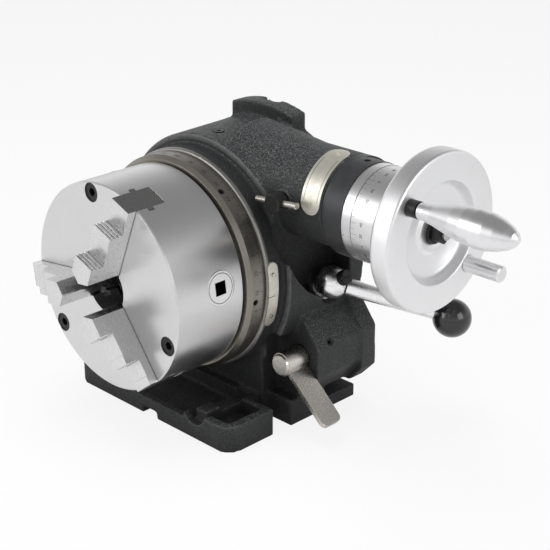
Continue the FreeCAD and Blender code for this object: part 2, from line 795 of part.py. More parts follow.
def worm_wheel():
    """A worm wheel with involute teeth that lean by the worm's lead angle."""
    module = value("wheel_module")
    teeth = int(value("wheel_teeth"))
    pitch_radius = module * teeth / 2
    base = pitch_radius * math.cos(math.radians(20))
    reaches = [pitch_radius - 1.2 * module, base + 0.05, pitch_radius, pitch_radius
               + 0.955 * module]
    flank = []
    for reach in reaches:
        pressure = math.acos(min(1, base / reach))
        spread = math.tan(pressure) - pressure
        at_pitch = math.tan(math.radians(20)) - math.radians(20)
        half = (math.pi * module / 4 - value("backlash")) / pitch_radius + at_pitch - spread
        flank.append((reach, half))

    def outline(along, turn):
        points = []
        for count in range(teeth):
            middle = math.radians(90) + 2 * math.pi * (count + 0.5) / teeth - turn
            for reach, half in flank:
                points.append((reach, middle - half))
            for reach, half in flank[::-1]:
                points.append((reach, middle + half))
        corners = [Vector(reach * math.cos(angle), along, value("spindle_height")
                          + reach * math.sin(angle)) for reach, angle in points]
        return Part.makePolygon(corners + corners[:1])
    lean = value("wheel_width / 2") * module / 2 / value("worm_pitch_radius") / pitch_radius
    wires = [outline(value("wheel_front"), -lean), outline(value("wheel_rear"), lean)]
    blank = shaped(Part.makeLoft(wires, True, True))
    bore = rod("wheel_seat + seat_gap", "wheel_front - 1", "wheel_rear + 1")
    slot = box(("-wheel_key / 2", "wheel_key / 2"), ("wheel_front - 1", "wheel_rear + 1"),
               ("spindle_height - wheel_seat - 3", "spindle_height"))
    dish = ring("wheel_seat + 5", "wheel_pitch_radius - 7", "wheel_front - 1", "wheel_front + 3")
    node(cut(blank, bore, slot, dish), "worm_wheel")


def index_ring():
    """The graduated ring on the flange, with six radial screws."""
    form = turned([("-chuck_seat + ring_gap", "flange_radius + seat_gap"),
                   ("-chuck_seat + ring_gap", "ring_radius - ring_bevel"),
                   ("-chuck_seat + ring_gap + ring_bevel", "ring_radius"),
                   ("flange_rear", "ring_radius"), ("flange_rear", "flange_radius + seat_gap")])
    spot = ("0", "-chuck_seat + 7.5", "spindle_height")
    angles = [f"ring_screw_angle + {turn}" for turn in SIXTHS]
    holes = [rod("ring_screw", "flange_radius - 1", "ring_radius + 1", angle, spot)
             for angle in angles]
    node(cut(form, *holes), "index_ring")
    screws = []
    for angle in angles:
        solid = rod("ring_screw - seat_gap", "flange_radius + seat_gap", "ring_radius - 1", angle,
                    spot)
        key = doc.addObject("Part::Prism", "socket")
        key.Polygon = 6
        key.setExpression("Circumradius", bound("ring_screw * 0.6"))
        key.Height = 4
        screws.append(cut(solid, place(key, angle, spot, "ring_radius - 3")))
    node(group(*screws), "index_ring_screws")


# ---------------------------------------------------------------------- housing
def drum():
    """The round housing: bare neck, front flange and tapered drum with side hollows."""
    form = turned([("neck_front", "0"), ("neck_front", "neck_radius"),
                   ("drum_front", "neck_radius"), ("drum_front", "drum_radius - drum_taper"),
                   ("drum_front + drum_taper", "drum_radius"),
                   ("rear_face", "drum_radius + drum_taper"), ("rear_face", "0")])
    rounded(form, "edge_bevel / 2", rim("neck_radius", "neck_front"), "PartDesign::Chamfer")
    hollow = rod("pocket_radius", "pocket_floor", "drum_radius + 5", "0",
                 ("0", "flange_front - 5", "spindle_height + 37"))
    hollows = common(hollow, box(("0", "drum_radius + 9"), ("0", "flange_front"),
                                 ("0", "2 * spindle_height")))
    recess = box(("pedestal_half_width + 2", "drum_radius + 5"), ("drum_front - 1", "wing_front"),
                 ("base_height", "spindle_height - 45"))
    return cut(form, hollows, mirrored(hollows), recess, mirrored(recess))


def side_wing(front, grow):
    """The thick side of the rear mounting flange, above its bolt slot."""
    outline = [("pedestal_half_width - 6", "base_height"),
               (f"base_half_width + 2 + {grow} * 3", "base_height"),
               (f"wing_reach + {grow} * 1.25", f"spindle_height - 77 - {grow} * 3.75"),
               (f"wing_reach + {grow}", "spindle_height - 53 + " + str(grow)),
               (f"wing_reach - 14 + {grow}", f"spindle_height - 35 + {grow}"),
               (f"wing_reach - 29 + {grow}", f"spindle_height - 19 + {grow}"),
               ("pedestal_half_width - 6", f"spindle_height - 19 + {grow}")]
    return plate(outline, front, "rear_face")


def base():
    """The foot: a rounded rim around webbed pockets, with the two front bolt slots."""
    half = "base_half_width"
    form = plate([(f"-{half}", "-base_front"), (half, "-base_front"), (half, "rear_face"),
                  (f"-{half}", "rear_face")], "0", "base_height", "Z")
    front = -value("base_front")
    rounded(form, "base_corner", lambda edge: edge.BoundBox.ZLength > 1
            and abs(edge.BoundBox.Center.y - front) < 0.01)
    low = "base_height - 7"
    tools = [box(("-40", "40"), ("-base_front - 1", "base_wall - base_front"), (low, "base_height + 1")),
             box(("-46", "46"), ("base_wall - base_front", "-5"), ("keyway_depth + 4", "base_height + 1"))]
    scallop = rod("12.5", "-base_front - 1", "base_wall - base_front", "Y",
                  ("51", "0", "base_height + 3"))
    corner = box(("58", "base_half_width - base_wall"), ("base_wall - base_front", "-15"),
                 ("8", "base_height + 1"))
    web = box(("44", "59"), ("-34", "0"), ("base_height - 4", "base_height + 1"))
    slot = box(("slot_round_place", "base_half_width + 1"), ("-slot_half_width", "slot_half_width"),
               ("-1", "base_height + 1"))
    end = rod("slot_half_width", "-1", "base_height + 1", "90", ("slot_round_place", "0", "0"))
    for tool in (scallop, corner, web, slot, end):
        tools += [tool, mirrored(tool)]
    tools.append(box(("-keyway_width / 2", "keyway_width / 2"), ("-base_front - 1", "rear_face + 1"),
                     ("-1", "keyway_depth")))
    return form, tools


def body_casting():
    """The main casting: base, drum, worm boss and the rear flange for upright mounting."""
    foot, foot_tools = base()
    pedestal = box(("-pedestal_half_width", "pedestal_half_width"), ("drum_front - 2", "rear_face"),
                   ("keyway_depth", "spindle_height - 21"))
    rear_disc = rod("drum_radius + drum_taper", "flange_front", "rear_face")
    lug = common(box(("-lug_half_width", "lug_half_width"), ("flange_front", "rear_face"),
                     ("spindle_height + 60", "spindle_height + 2 * lug_radius")),
                 rod("lug_radius", "flange_front", "rear_face"))
    boss = turned([("20", "0"), ("20", "boss_root"), ("80", "boss_radius"),
                   ("boss_end", "boss_radius"), ("boss_end", "0")], "0", SLEEVE)
    rounded(boss, "edge_bevel / 2", rim("boss_radius", "boss_end"), "PartDesign::Chamfer")
    wings = [side_wing("wing_front", 0), side_wing("flange_front", "flange_step")]
    wings += [mirrored(wing) for wing in wings]
    along = ("lock_x", "lock_place", "lock_z")
    seat = rod("lock_hub_radius + 0.7", "40", "lock_seat - face_gap", "lock_angle", along)
    tee_boss = rod("tee_head + 1.2", "2.5", "sleeve_y - sleeve_radius + 4", "Y",
                   ("tee_x", "0", "tee_z"))
    whole = fuse(cut(foot, *foot_tools), pedestal, drum(), rear_disc, lug, boss, tee_boss, seat,
                 *wings)
    spot = ("clamp_x", "0", "clamp_z")
    rear_slot = box(("base_half_width - 22", "base_half_width + 40"), ("48", "rear_face + 1"),
                    ("base_height - 11.7", "base_height + 0.5"))
    rear_keyway = box(("-keyway_width / 2", "keyway_width / 2"),
                      ("rear_face - keyway_depth", "rear_face + 1"),
                      ("-1", "spindle_height + 2 * lug_radius"))
    tools = [rod("front_bush_radius + seat_gap", "neck_front - 1", "front_bush_rear"),
             rod("journal_front + running_gap", "0", "chamber_front + 1"),
             rod("chamber_radius", "chamber_front", "cover_front + 1"),
             rod("cover_radius + seat_gap", "cover_front", "rear_face + 1"),
             rod("sleeve_radius + running_gap", "-sleeve_shoulder - face_gap", "boss_end + 1", "0",
                 SLEEVE),
             rod("sleeve_pilot + running_gap", "-sleeve_end - face_gap", "0", "0", SLEEVE),
             rod("cotter_radius + seat_gap", "-18", "lock_seat + 1", "lock_angle", along),
             rod("lock_hub_radius + 1.7", "lock_seat - face_gap", "lock_seat + 40", "lock_angle",
                 along),
             rod("clamp_shaft + running_gap", "wing_front - 1", "46", "Y", spot),
             rod("plunger_radius + seat_gap", "chamber_radius - 1", "clamp_reach", "-clamp_turn",
                 ("0", "plunger_place", "spindle_height")),
             rod("tee_shank + running_gap", "-6", "sleeve_y", "Y", ("tee_x", "0", "tee_z")),
             rod("3 + seat_gap", "0", "40", "set_screw_angle", ("clamp_x", "set_screw_y", "clamp_z")),
             rod("oil_radius", "60", "lug_radius", "90", ("0", "22", "spindle_height")),
             rear_slot, mirrored(rear_slot), rear_keyway]
    tools += [rod("2", "cover_front - 7", "cover_front + 1", "Y",
                  on_circle("cover_screw_circle", turn)) for turn in COVER_TURNS]
    casting = cut(whole, *tools)
    # The one casting is kept as five blocks that meet on flat planes.
    far = "2 * lug_radius"
    side = "pedestal_half_width"
    above = ("base_height", f"spindle_height + {far}")
    before = (f"-{far}", "flange_front")
    blocks = {
        "casting_foot": [box((f"-{far}", far), (f"-{far}", far), ("-1", "base_height"))],
        "casting_rear": [box((f"-{far}", far), ("flange_front", far), above)],
        "body_casting": [box((f"-{side}", side), before, above)],
        "worm_boss": [box((side, far), before, ("boss_low", f"spindle_height + {far}"))],
        "casting_sides": [box((side, far), before, ("base_height", "boss_low")),
                          box((f"-{far}", f"-{side}"), before, above)],
    }
    for label, spaces in blocks.items():
        node(group(*[common(casting, space) for space in spaces]), label)


def bearings():
    """The two plain spindle bushes and the cover that carries the rear one."""
    node(turned([("neck_front + 1", "journal_front + running_gap"),
                 ("neck_front", "journal_front + running_gap + 1"),
                 ("neck_front", "front_bush_radius"), ("front_bush_rear", "front_bush_radius"),
                 ("front_bush_rear", "journal_front + running_gap")]), "front_bush")
    node(ring("journal_rear + running_gap", "rear_bush_radius", "cover_hub_front", "cover_rear"),
         "rear_bush")
    cover = turned([("cover_hub_front", "rear_bush_radius + seat_gap"),
                    ("cover_hub_front", "rear_bush_radius + 7"),
                    ("cover_front", "rear_bush_radius + 7"), ("cover_front", "cover_radius"),
                    ("cover_rear", "cover_radius"), ("cover_rear", "rear_bush_radius + seat_gap")])
    spots = [on_circle("cover_screw_circle", turn) for turn in COVER_TURNS]
    holes = []
    for spot in spots:
        holes.append(rod("2.5", "cover_front - 1", "cover_rear + 1", "Y", spot))
        holes.append(rod("4.4", "cover_rear - 2.5", "cover_rear + 1", "Y", spot))
    node(cut(cover, *holes), "rear_cover")
    screws = []
    for spot in spots:
        solid = turned([("cover_front - 5.5", "0"), ("cover_front - 5.5", "2 - seat_gap"),
                        ("cover_rear - 2.5", "2 - seat_gap"), ("cover_rear - 2.5", "4.2"),
                        ("cover_rear + 1.5", "4.2"), ("cover_rear + 1.5", "0")], "Y", spot)
        key = doc.addObject("Part::Prism", "socket")
        key.Polygon = 6
        key.Circumradius = 2.3
        key.Height = 3
        screws.append(cut(solid, place(key, "Y", spot, "cover_rear - 1")))
    node(group(*screws), "rear_cover_screws")


def zero_plate():
    """The curved plate with the zero mark, on the neck beside the graduated ring."""
    shell = ring("neck_radius", "neck_radius + plate_lift", "neck_front + 0.2",
                 "neck_front + 0.2 + zero_width")
    half = "zero_length / 2 - zero_width / 2"
    outline = fuse(spun_box(half, "neck_radius - 3", "neck_radius + 5", "neck_front - 1",
                            "neck_front + 2 + zero_width", "zero_angle"),
                   *[rod("zero_width / 2", "neck_radius - 12", "neck_radius + 5", "zero_angle",
                         (f"{side} * ({half}) * sin(zero_angle)",
                          "neck_front + 0.2 + zero_width / 2",
                          f"spindle_height - {side} * ({half}) * cos(zero_angle)"))
                     for side in (-1, 1)])
    plate_form = common(shell, outline)
    spots = [f"zero_angle + {side} * zero_screw_angle" for side in (-1, 1)]
    along = ("0", "neck_front + 0.2 + zero_width / 2", "spindle_height")
    holes = [rod("1.6", "neck_radius - 5", "neck_radius + 5", spot, along) for spot in spots]
    node(cut(plate_form, *holes), "zero_plate")
    screws = [rod("1.5", "neck_radius", "neck_radius + plate_lift + 0.8", spot, along)
              for spot in spots]
    node(group(*screws), "zero_plate_screws")


def boss_peg(radius, height, reach, turn):
    """A peg that stands on the worm boss, at a reach and an angle from its axis."""
    peg = doc.addObject("Part::Cylinder", "peg")
    peg.setExpression("Radius", bound(radius))
    peg.setExpression("Height", bound(height))
    peg.Placement.Rotation = Rotation(Vector(1, 0, 0), value(turn) - 90)
    for part, text in zip("xyz", ("boss_end - 11", f"sleeve_y + ({reach}) * cos({turn})",
                                  f"worm_z + ({reach}) * sin({turn})")):
        peg.setExpression("Placement.Base." + part, bound(text))
    return peg


def nameplate():
    """A bare curved plate with round ends on the worm boss, held by two rivets."""
    shell = ring("boss_radius", "boss_radius + plate_thickness", "boss_end - 20", "boss_end - 2",
                 "0", SLEEVE)
    corners = ((70, "plate_angle - plate_turn"), (85, "plate_angle"),
               (70, "plate_angle + plate_turn"))
    wedge = plate([("0", "0")] + [(f"{reach} * cos({turn})", f"{reach} * sin({turn})")
                                  for reach, turn in corners],
                  "boss_end - 21", "boss_end - 1", "X")
    for part, text in zip("yz", ("sleeve_y", "worm_z")):
        wedge.setExpression("Placement.Base." + part, bound(text))
    ends = [boss_peg("9", "boss_radius", "20", f"plate_angle + {side} * plate_turn")
            for side in (-1, 1)]
    node(common(shell, fuse(wedge, *ends)), "nameplate")
    rivets = [boss_peg("1.6", "1.1", "boss_radius + plate_thickness",
                       f"plate_angle + {side} * (plate_turn + 2)") for side in (-1, 1)]
    node(group(*rivets), "nameplate_rivets")


def housing_trim():
    """Oil cup, set screw, split cotter and brake plunger, each in its bore."""
    oil_spot = ("0", "22", "spindle_height")
    cup = turned([("drum_radius - 6", "0"), ("drum_radius - 6", "oil_radius - seat_gap"),
                  ("drum_radius + 0.3", "oil_radius - seat_gap"), ("drum_radius + 0.3", "2"),
                  ("drum_radius - 0.7", "1.6"), ("drum_radius - 0.7", "0")], "90", oil_spot)
    node(cup, "oil_cup")
    spot = ("clamp_x", "set_screw_y", "clamp_z")
    screw = rod("3", "clamp_shaft + 0.2", "wing_reach - clamp_x + 1.5", "set_screw_angle", spot)
    key = doc.addObject("Part::Prism", "socket")
    key.Polygon = 6
    key.Circumradius = 1.7
    key.Height = 4
    node(cut(screw, place(key, "set_screw_angle", spot, "wing_reach - clamp_x - 1")),
         "shaft_set_screw")
    along = ("lock_x", "lock_place", "lock_z")
    saddle = rod("brake_ring_radius + face_gap", "lock_place - 20", "lock_place + 20")
    bolt = rod("lock_bolt + running_gap", "-20", "lock_seat + 1", "lock_angle", along)
    halves = [cut(rod("cotter_radius", start, end, "lock_angle", along), saddle, bolt)
              for start, end in (("-17", "-0.5"), ("0.5", "lock_seat - 1"))]
    node(group(*halves), "lock_cotter")
    plunger = rod("plunger_radius", "journal_front - 2", "clamp_reach - clamp_shaft - face_gap",
                  "-clamp_turn", ("0", "plunger_place", "spindle_height"))
    node(cut(plunger, rod("journal_front + face_gap", "plunger_place - 10", "plunger_place + 10")),
         "brake_plunger")


# ---------------------------------------------------------- worm, dial and wheel
def eccentric_sleeve():
    """The sleeve that carries the worm off centre, and its flange with the neck."""
    form = turned([("-sleeve_end", "0"), ("-sleeve_end", "sleeve_pilot"),
                   ("-sleeve_shoulder", "sleeve_pilot"), ("-sleeve_shoulder", "sleeve_radius"),
                   ("boss_end + face_gap", "sleeve_radius"), ("boss_end + face_gap", "0")],
                  "0", SLEEVE)
    cap = fuse(rod("boss_radius", "boss_end + face_gap", "flange_outer", "0", SLEEVE),
               rod("sleeve_neck", "flange_outer - 1", "vernier_start + 5", "0", WORM))
    node(cut(cap, rod("worm_bore", "boss_end - 1", "vernier_start + 6", "0", WORM)),
         "sleeve_flange")
    bore = turned([("-sleeve_end - 1", "0"), ("-sleeve_end - 1", "worm_shaft + 5"),
                   ("-sleeve_shoulder + 1", "worm_shaft + 5"), ("-sleeve_shoulder + 1", "worm_bore"),
                   ("vernier_start + 6", "worm_bore"), ("vernier_start + 6", "0")], "0", WORM)
    window = plate([("0", "0")] + [(f"60 * cos({angle})", f"60 * sin({angle})")
                                   for angle in ("-138", "-80", "-20", "40")],
                   "-sleeve_shoulder - 12", "sleeve_shoulder + 20", "X")
    for part, text in zip("yz", ("sleeve_y", "worm_z")):
        window.setExpression("Placement.Base." + part, bound(text))
    node(cut(form, bore, window), "eccentric_sleeve")


def sleeve_rings():
    """Worm bushes, the black collar with its screws and the vernier ring."""
    bushes = [ring("worm_shaft + running_gap", outside, start, end, "0", WORM)
              for outside, start, end in
              (("worm_shaft + 5 - seat_gap", "-sleeve_end", "-sleeve_end + 10"),
               ("worm_bore - seat_gap", "boss_end - 30", "vernier_start + 5"))]
    node(group(*bushes), "worm_bushes")
    collar = turned([("flange_outer", "sleeve_neck + seat_gap"), ("flange_outer", "collar_radius"),
                     ("vernier_start", "collar_radius"), ("vernier_start", "sleeve_neck + seat_gap")],
                    "0", WORM)
    spot = ("flange_outer + collar_length / 2", "wheel_y", "worm_z")
    holes = []
    screws = []
    for turn in ("-90", "90"):
        holes.append(rod("2.5", "sleeve_neck", "collar_radius + 1", turn, spot))
        screws.append(rod("2.5 - seat_gap", "sleeve_neck + 0.1", "collar_radius - 1", turn, spot))
    node(cut(collar, *holes), "sleeve_collar")
    node(group(*screws), "collar_screws")
    node(turned([("vernier_start", "sleeve_neck + seat_gap"), ("vernier_start", "boss_radius"),
                 ("vernier_start + vernier_length", "boss_radius"),
                 ("vernier_start + vernier_length", "sleeve_neck + seat_gap")], "0", WORM),
         "vernier_ring")


def worm_shaft():
    """The worm, its shaft and the threaded end for the handwheel nut."""
    core = turned([("-sleeve_end + 0.3", "0"), ("-sleeve_end + 0.3", "worm_shaft"),
                   ("-worm_half_length", "worm_shaft"), ("-worm_half_length", "worm_root"),
                   ("sleeve_shoulder + 2", "worm_root"), ("sleeve_shoulder + 2", "worm_shaft"),
                   ("dial_start + 6", "worm_shaft"), ("dial_start + 6", "wheel_shaft"),
                   ("rim_face - 7", "wheel_shaft"), ("rim_face - 7", "shaft_thread"),
                   ("rim_face + 4.5", "shaft_thread"), ("rim_face + 5", "shaft_thread - 0.5"),
                   ("rim_face + 5", "0")], "0", WORM)
    keyway = box(("wheel_start + 2", "rim_face - 7"),
                 ("wheel_y - 2", "wheel_y + 2"), ("worm_z + wheel_shaft - 2", "worm_z + wheel_shaft + 1"))
    body = cut(core, keyway)
    doc.recompute()
    module = value("wheel_module")
    lead = math.pi * module
    pitch_radius = value("worm_pitch_radius")
    root = value("worm_root") - 0.4
    tip = pitch_radius + 0.955 * module
    lean = math.tan(math.radians(20))
    half = lead / 4 - value("backlash") / 3
    length = value("worm_half_length")
    start = -length - lead
    profile = [Vector(root, 0, -half - (pitch_radius - root) * lean),
               Vector(tip, 0, -half + (tip - pitch_radius) * lean),
               Vector(tip, 0, half - (tip - pitch_radius) * lean),
               Vector(root, 0, half + (pitch_radius - root) * lean)]
    turns = 2 * (int(length / lead) + 1)
    helix = Part.makeHelix(lead, turns * lead, pitch_radius)
    thread = Part.Wire(helix).makePipeShell([Part.makePolygon(profile + profile[:1])], True, True)
    thread.translate(Vector(0, 0, -turns * lead / 2))
    thread = thread.common(Part.makeCylinder(tip + 1, 2 * length, Vector(0, 0, -length)))
    # The thread's own Z becomes X, and its start angle turns to the underside.
    thread.rotate(Vector(), Vector(0, 1, 0), 90)
    thread.translate(Vector(0, value("wheel_y"), value("worm_z")))
    node(shaped(body.Shape.fuse(thread)), "worm_shaft")


def handwheel():
    """The dished handwheel with its dial, key, washer and nut."""
    node(turned([("dial_start", "worm_shaft + seat_gap"), ("dial_start", "dial_radius"),
                 ("dial_start + dial_length - 1.5", "dial_radius"),
                 ("dial_start + dial_length", "dial_radius - 1.5"),
                 ("dial_start + dial_length", "wheel_shaft + seat_gap"),
                 ("dial_start + 6", "wheel_shaft + seat_gap"),
                 ("dial_start + 6", "worm_shaft + seat_gap")], "0", WORM), "micrometer_dial")
    rim_edge = "rim_start + 2.5"
    wheel = turned([("wheel_start", "wheel_shaft + seat_gap"), ("wheel_start", "wheel_hub"),
                    ("rim_start + 1", "wheel_hub + 1.5"), ("rim_start + 1", "wheel_rim - 16"),
                    ("rim_start", "wheel_rim - 9"), ("rim_start", "wheel_rim - 4"),
                    (rim_edge, "wheel_rim - 0.8"), ("rim_start + 6", "wheel_rim"),
                    ("rim_face - 3.5", "wheel_rim"), ("rim_face - 1", "wheel_rim - 0.7"),
                    ("rim_face", "wheel_rim - 2.5"), ("rim_face", "wheel_dish + 0.6"),
                    ("rim_face - 1", "wheel_dish - 0.6"), ("rim_face - 5", "wheel_dish - 3"),
                    ("rim_face - 8", "wheel_dish - 8"), ("rim_face - 9", "wheel_dish - 14"),
                    ("rim_face - 9", "wheel_hub + 2"), ("rim_face - 7", "wheel_hub - 1"),
                    ("rim_face - 7", "wheel_shaft + seat_gap")], "0", WORM)
    keyway = box(("wheel_start - 1", "rim_face"), ("wheel_y - 2", "wheel_y + 2"),
                 ("worm_z", "worm_z + wheel_shaft + 2"))
    stud = spot_on_wheel("grip_offset", "grip_angle")
    pin = spot_on_wheel("pin_offset", "pin_angle")
    holes = [rod("4 + seat_gap", "rim_start - 1", "rim_face + 1", "0", stud),
             rod("4 + seat_gap", "rim_face - 12", "rim_face + 1", "0", pin)]
    node(cut(wheel, keyway, *holes), "handwheel")
    node(box(("wheel_start + 2.3", "rim_face - 7.3"), ("wheel_y - 1.98", "wheel_y + 1.98"),
             ("worm_z + wheel_shaft - 1.98", "worm_z + wheel_shaft + 1.98")), "handwheel_key")
    node(ring("shaft_thread + seat_gap", "nut_radius + 1.5", "rim_face - 7", "rim_face - 5", "0",
              WORM), "handwheel_washer")
    blank = doc.addObject("Part::Prism", "blank")
    blank.Polygon = 6
    blank.setExpression("Circumradius", bound("nut_radius"))
    blank.Height = 7
    nut = cut(place(blank, "0", WORM, "rim_face - 5"),
              rod("shaft_thread + seat_gap", "rim_face - 6", "rim_face + 5", "0", WORM))
    node(nut, "handwheel_nut")


def spot_on_wheel(offset, angle):
    """A point of the handwheel at a distance and an angle from the worm's axis."""
    return ("0", f"wheel_y + {offset} * cos({angle})", f"worm_z + {offset} * sin({angle})")


def crank():
    """The turning grip on its stud, and the short pin across the wheel from it."""
    stud = spot_on_wheel("grip_offset", "grip_angle")
    node(turned([("rim_start + 2", "0"), ("rim_start + 2", "4"), ("rim_face", "4"),
                 ("rim_face", "stud_radius"), ("rim_face + 8", "stud_radius"),
                 ("rim_face + 8", "2.5"), ("grip_start + grip_length * 0.6", "2.5"),
                 ("grip_start + grip_length * 0.6", "0")], "0", stud), "crank_stud")
    outline = [("grip_start", "2.5 + running_gap"), ("grip_start", "5.2"),
               ("grip_start + 1", "5.8")]
    for part, radius in ((0.08, 6.2), (0.16, 7.1), (0.26, 8.9), (0.38, 11.0), (0.5, 12.5),
                         (0.61, 13.0), (0.72, 12.4), (0.82, 10.6), (0.9, 8.2), (0.96, 5.2),
                         (0.99, 2.4)):
        outline.append((f"grip_start + grip_length * {part}", str(radius)))
    end = "grip_start + grip_length * 0.6 + face_gap"
    outline += [("grip_start + grip_length", "0"), (end, "0"), (end, "2.5 + running_gap")]
    node(turned(outline, "0", stud), "crank_grip")
    pin = spot_on_wheel("pin_offset", "pin_angle")
    node(turned([("rim_face - 11", "0"), ("rim_face - 11", "4"), ("rim_face", "4"),
                 ("rim_face", "pin_radius"), ("rim_face + pin_length - 1", "pin_radius"),
                 ("rim_face + pin_length", "pin_radius - 1"), ("rim_face + pin_length", "0")],
                "0", pin), "counter_pin")


# ----------------------------------------------------------------------- levers
def ball_lever():
    """The spindle lock's lever: round hub, slanting rod, ball knob and slotted screw."""
    along = ("lock_x", "lock_place", "lock_z")
    middle = Vector(value("lock_centre_x"), value("lock_place"), value("lock_centre_z"))
    knob = Vector(*[value(word) for word in ("ball_x", "ball_y", "ball_z")])
    heading = (knob - middle).normalize()
    reach = (knob - middle).Length
    hub = doc.addObject("Part::Sphere", "hub")
    hub.setExpression("Radius", bound("lock_hub_radius"))
    for part, text in zip("xyz", ("lock_centre_x", "lock_place", "lock_centre_z")):
        hub.setExpression("Placement.Base." + part, bound(text))
    span = rod("lock_hub_radius + 1", "lock_seat", "lock_hub + lock_hub_radius - 1", "lock_angle",
               along)
    hub = common(hub, span)
    arm = doc.addObject("PartDesign::Body", "arm")
    hub_reach = value("lock_hub_radius")
    tail = value("ball_radius") * 0.35
    # The rod tapers from the hub to the knob and ends in a short stem inside the ball.
    sketch = sketch_on(arm, "XZ_Plane", [("0", "lock_hub_radius - 1"), ("7", "lock_hub_radius - 1"),
                                         ("5", f"{reach} - ball_radius + 1"),
                                         ("4", f"{reach} - ball_radius + 1"),
                                         ("4", f"{reach} - {tail}"), ("0", f"{reach} - {tail}")])
    turn = arm.newObject("PartDesign::Revolution", "revolution")
    turn.Profile = sketch
    turn.ReferenceAxis = (sketch, ["V_Axis"])
    turn.Angle = 360
    facing = Rotation(Vector(0, 0, 1), heading)
    arm.Placement = FreeCAD.Placement(middle, facing)
    bolt_hole = rod("lock_bolt + seat_gap", "lock_seat - 1", "lock_hub + lock_hub_radius", "lock_angle",
                    along)
    arm_room = doc.addObject("Part::Cylinder", "arm_room")
    arm_room.Radius = 7.02
    arm_room.setExpression("Height", bound("lock_hub_radius + 4"))
    arm_room.Placement = FreeCAD.Placement(middle + heading * (hub_reach - 1), facing)
    node(cut(hub, bolt_hole, arm_room), "ball_lever_hub")
    node(arm, "ball_lever_rod")
    ball = doc.addObject("Part::Sphere", "ball")
    ball.setExpression("Radius", bound("ball_radius"))
    ball.Placement.Base = knob
    stem_hole = doc.addObject("Part::Cylinder", "stem_hole")
    stem_hole.Radius = 4.02
    stem_hole.setExpression("Height", bound(f"ball_radius - {tail} + 0.3"))
    stem_hole.Placement = FreeCAD.Placement(knob - heading * value("ball_radius"), facing)
    flat = doc.addObject("Part::Cylinder", "flat")
    flat.Radius = 9
    flat.Height = 3
    flat.Placement = FreeCAD.Placement(knob - heading * (value("ball_radius") + 2), facing)
    node(cut(ball, stem_hole, flat), "ball_lever_knob")
    screw = turned([("-17", "0"), ("-17", "lock_bolt"),
                    ("lock_hub + lock_hub_radius - 1", "lock_bolt"),
                    ("lock_hub + lock_hub_radius - 1", "5.9"),
                    ("lock_hub + lock_hub_radius + 4", "5.9"),
                    ("lock_hub + lock_hub_radius + 5", "5"),
                    ("lock_hub + lock_hub_radius + 5", "0")], "lock_angle", along)
    slot = doc.addObject("Part::Box", "slot")
    slot.Length = 1.6
    slot.Width = 20
    slot.Height = 4
    slot.Placement.Rotation = Rotation(Vector(0, 1, 0), value("90 - lock_angle"))
    outer = "(lock_hub + lock_hub_radius + 3)"
    for part, text in zip("xyz", (f"lock_x + {outer} * cos(lock_angle) - 0.8 * sin(lock_angle)",
                                  "lock_place - 10",
                                  f"lock_z + {outer} * sin(lock_angle) + 0.8 * cos(lock_angle)")):
        slot.setExpression("Placement.Base." + part, bound(text))
    node(cut(screw, slot), "lock_screw")


def clamp_lever():
    """The flat lever on the brake shaft."""
    spot = ("clamp_x", "0", "clamp_z")
    rear = "wing_front - face_gap"
    barrel = turned([("-3.5", "0"), ("-3.5", "clamp_barrel - 1.5"), ("-1.5", "clamp_barrel - 0.9"),
                     ("-1.5", "clamp_barrel"), (rear, "clamp_barrel"), (rear, "0")], "Y", spot)
    blade = plate([("-0.5", "0"), ("wing_front - 0.5", "0"), ("wing_front - 0.5", "clamp_blade"),
                   ("-0.5", "clamp_blade")], "0", "clamp_thickness", "X")
    tip = value("clamp_blade")
    rounded(blade, "5", lambda edge: edge.BoundBox.ZLength > 1
            and abs(edge.BoundBox.Center.y - tip) < 0.01)
    turn = value("90 - clamp_blade_angle")
    blade.Placement.Rotation = Rotation(Vector(0, 1, 0), turn).multiply(
        Rotation(Vector(1, 1, 1), 120))
    blade.setExpression("Placement.Base.x",
                        bound("clamp_x - clamp_thickness / 2 * sin(clamp_blade_angle)"))
    blade.setExpression("Placement.Base.z",
                        bound("clamp_z + clamp_thickness / 2 * cos(clamp_blade_angle)"))
    bore = rod("clamp_shaft - 2 + seat_gap", "3", "wing_front", "Y", spot)
    node(cut(fuse(barrel, blade), bore), "clamp_lever")
    shaft = turned([("3.3", "0"), ("3.3", "clamp_shaft - 2"), (rear, "clamp_shaft - 2"),
                    (rear, "clamp_shaft"), ("set_screw_y - 3.3", "clamp_shaft"),
                    ("set_screw_y - 3.3", "clamp_shaft - 1"),
                    ("set_screw_y + 3.3", "clamp_shaft - 1"), ("set_screw_y + 3.3", "clamp_shaft"),
                    ("45", "clamp_shaft"), ("45", "0")], "Y", spot)
    node(shaft, "clamp_shaft")


def sleeve_clamp():
    """The small tee screw that clamps the eccentric sleeve."""
    spot = ("tee_x", "0", "tee_z")
    screw = turned([("-9", "0"), ("-9", "tee_head - 1"), ("-8", "tee_head"), ("1", "tee_head"),
                    ("2", "tee_head - 1"), ("2", "tee_shank"),
                    ("sleeve_y - sleeve_radius - 0.15", "tee_shank"),
                    ("sleeve_y - sleeve_radius - 0.15", "0")], "Y", spot)
    across = ("tee_x", "-3", "tee_z")
    hole = rod("2.5 + seat_gap", "-20", "20", "tee_tilt", across)
    node(cut(screw, hole), "sleeve_clamp_screw")
    bar = turned([("-tee_bar / 2", "0"), ("-tee_bar / 2", "2"), ("-tee_bar / 2 + 0.5", "2.5"),
                  ("tee_bar / 2 - 0.5", "2.5"), ("tee_bar / 2", "2"), ("tee_bar / 2", "0")],
                 "tee_tilt", across)
    node(bar, "sleeve_clamp_bar")


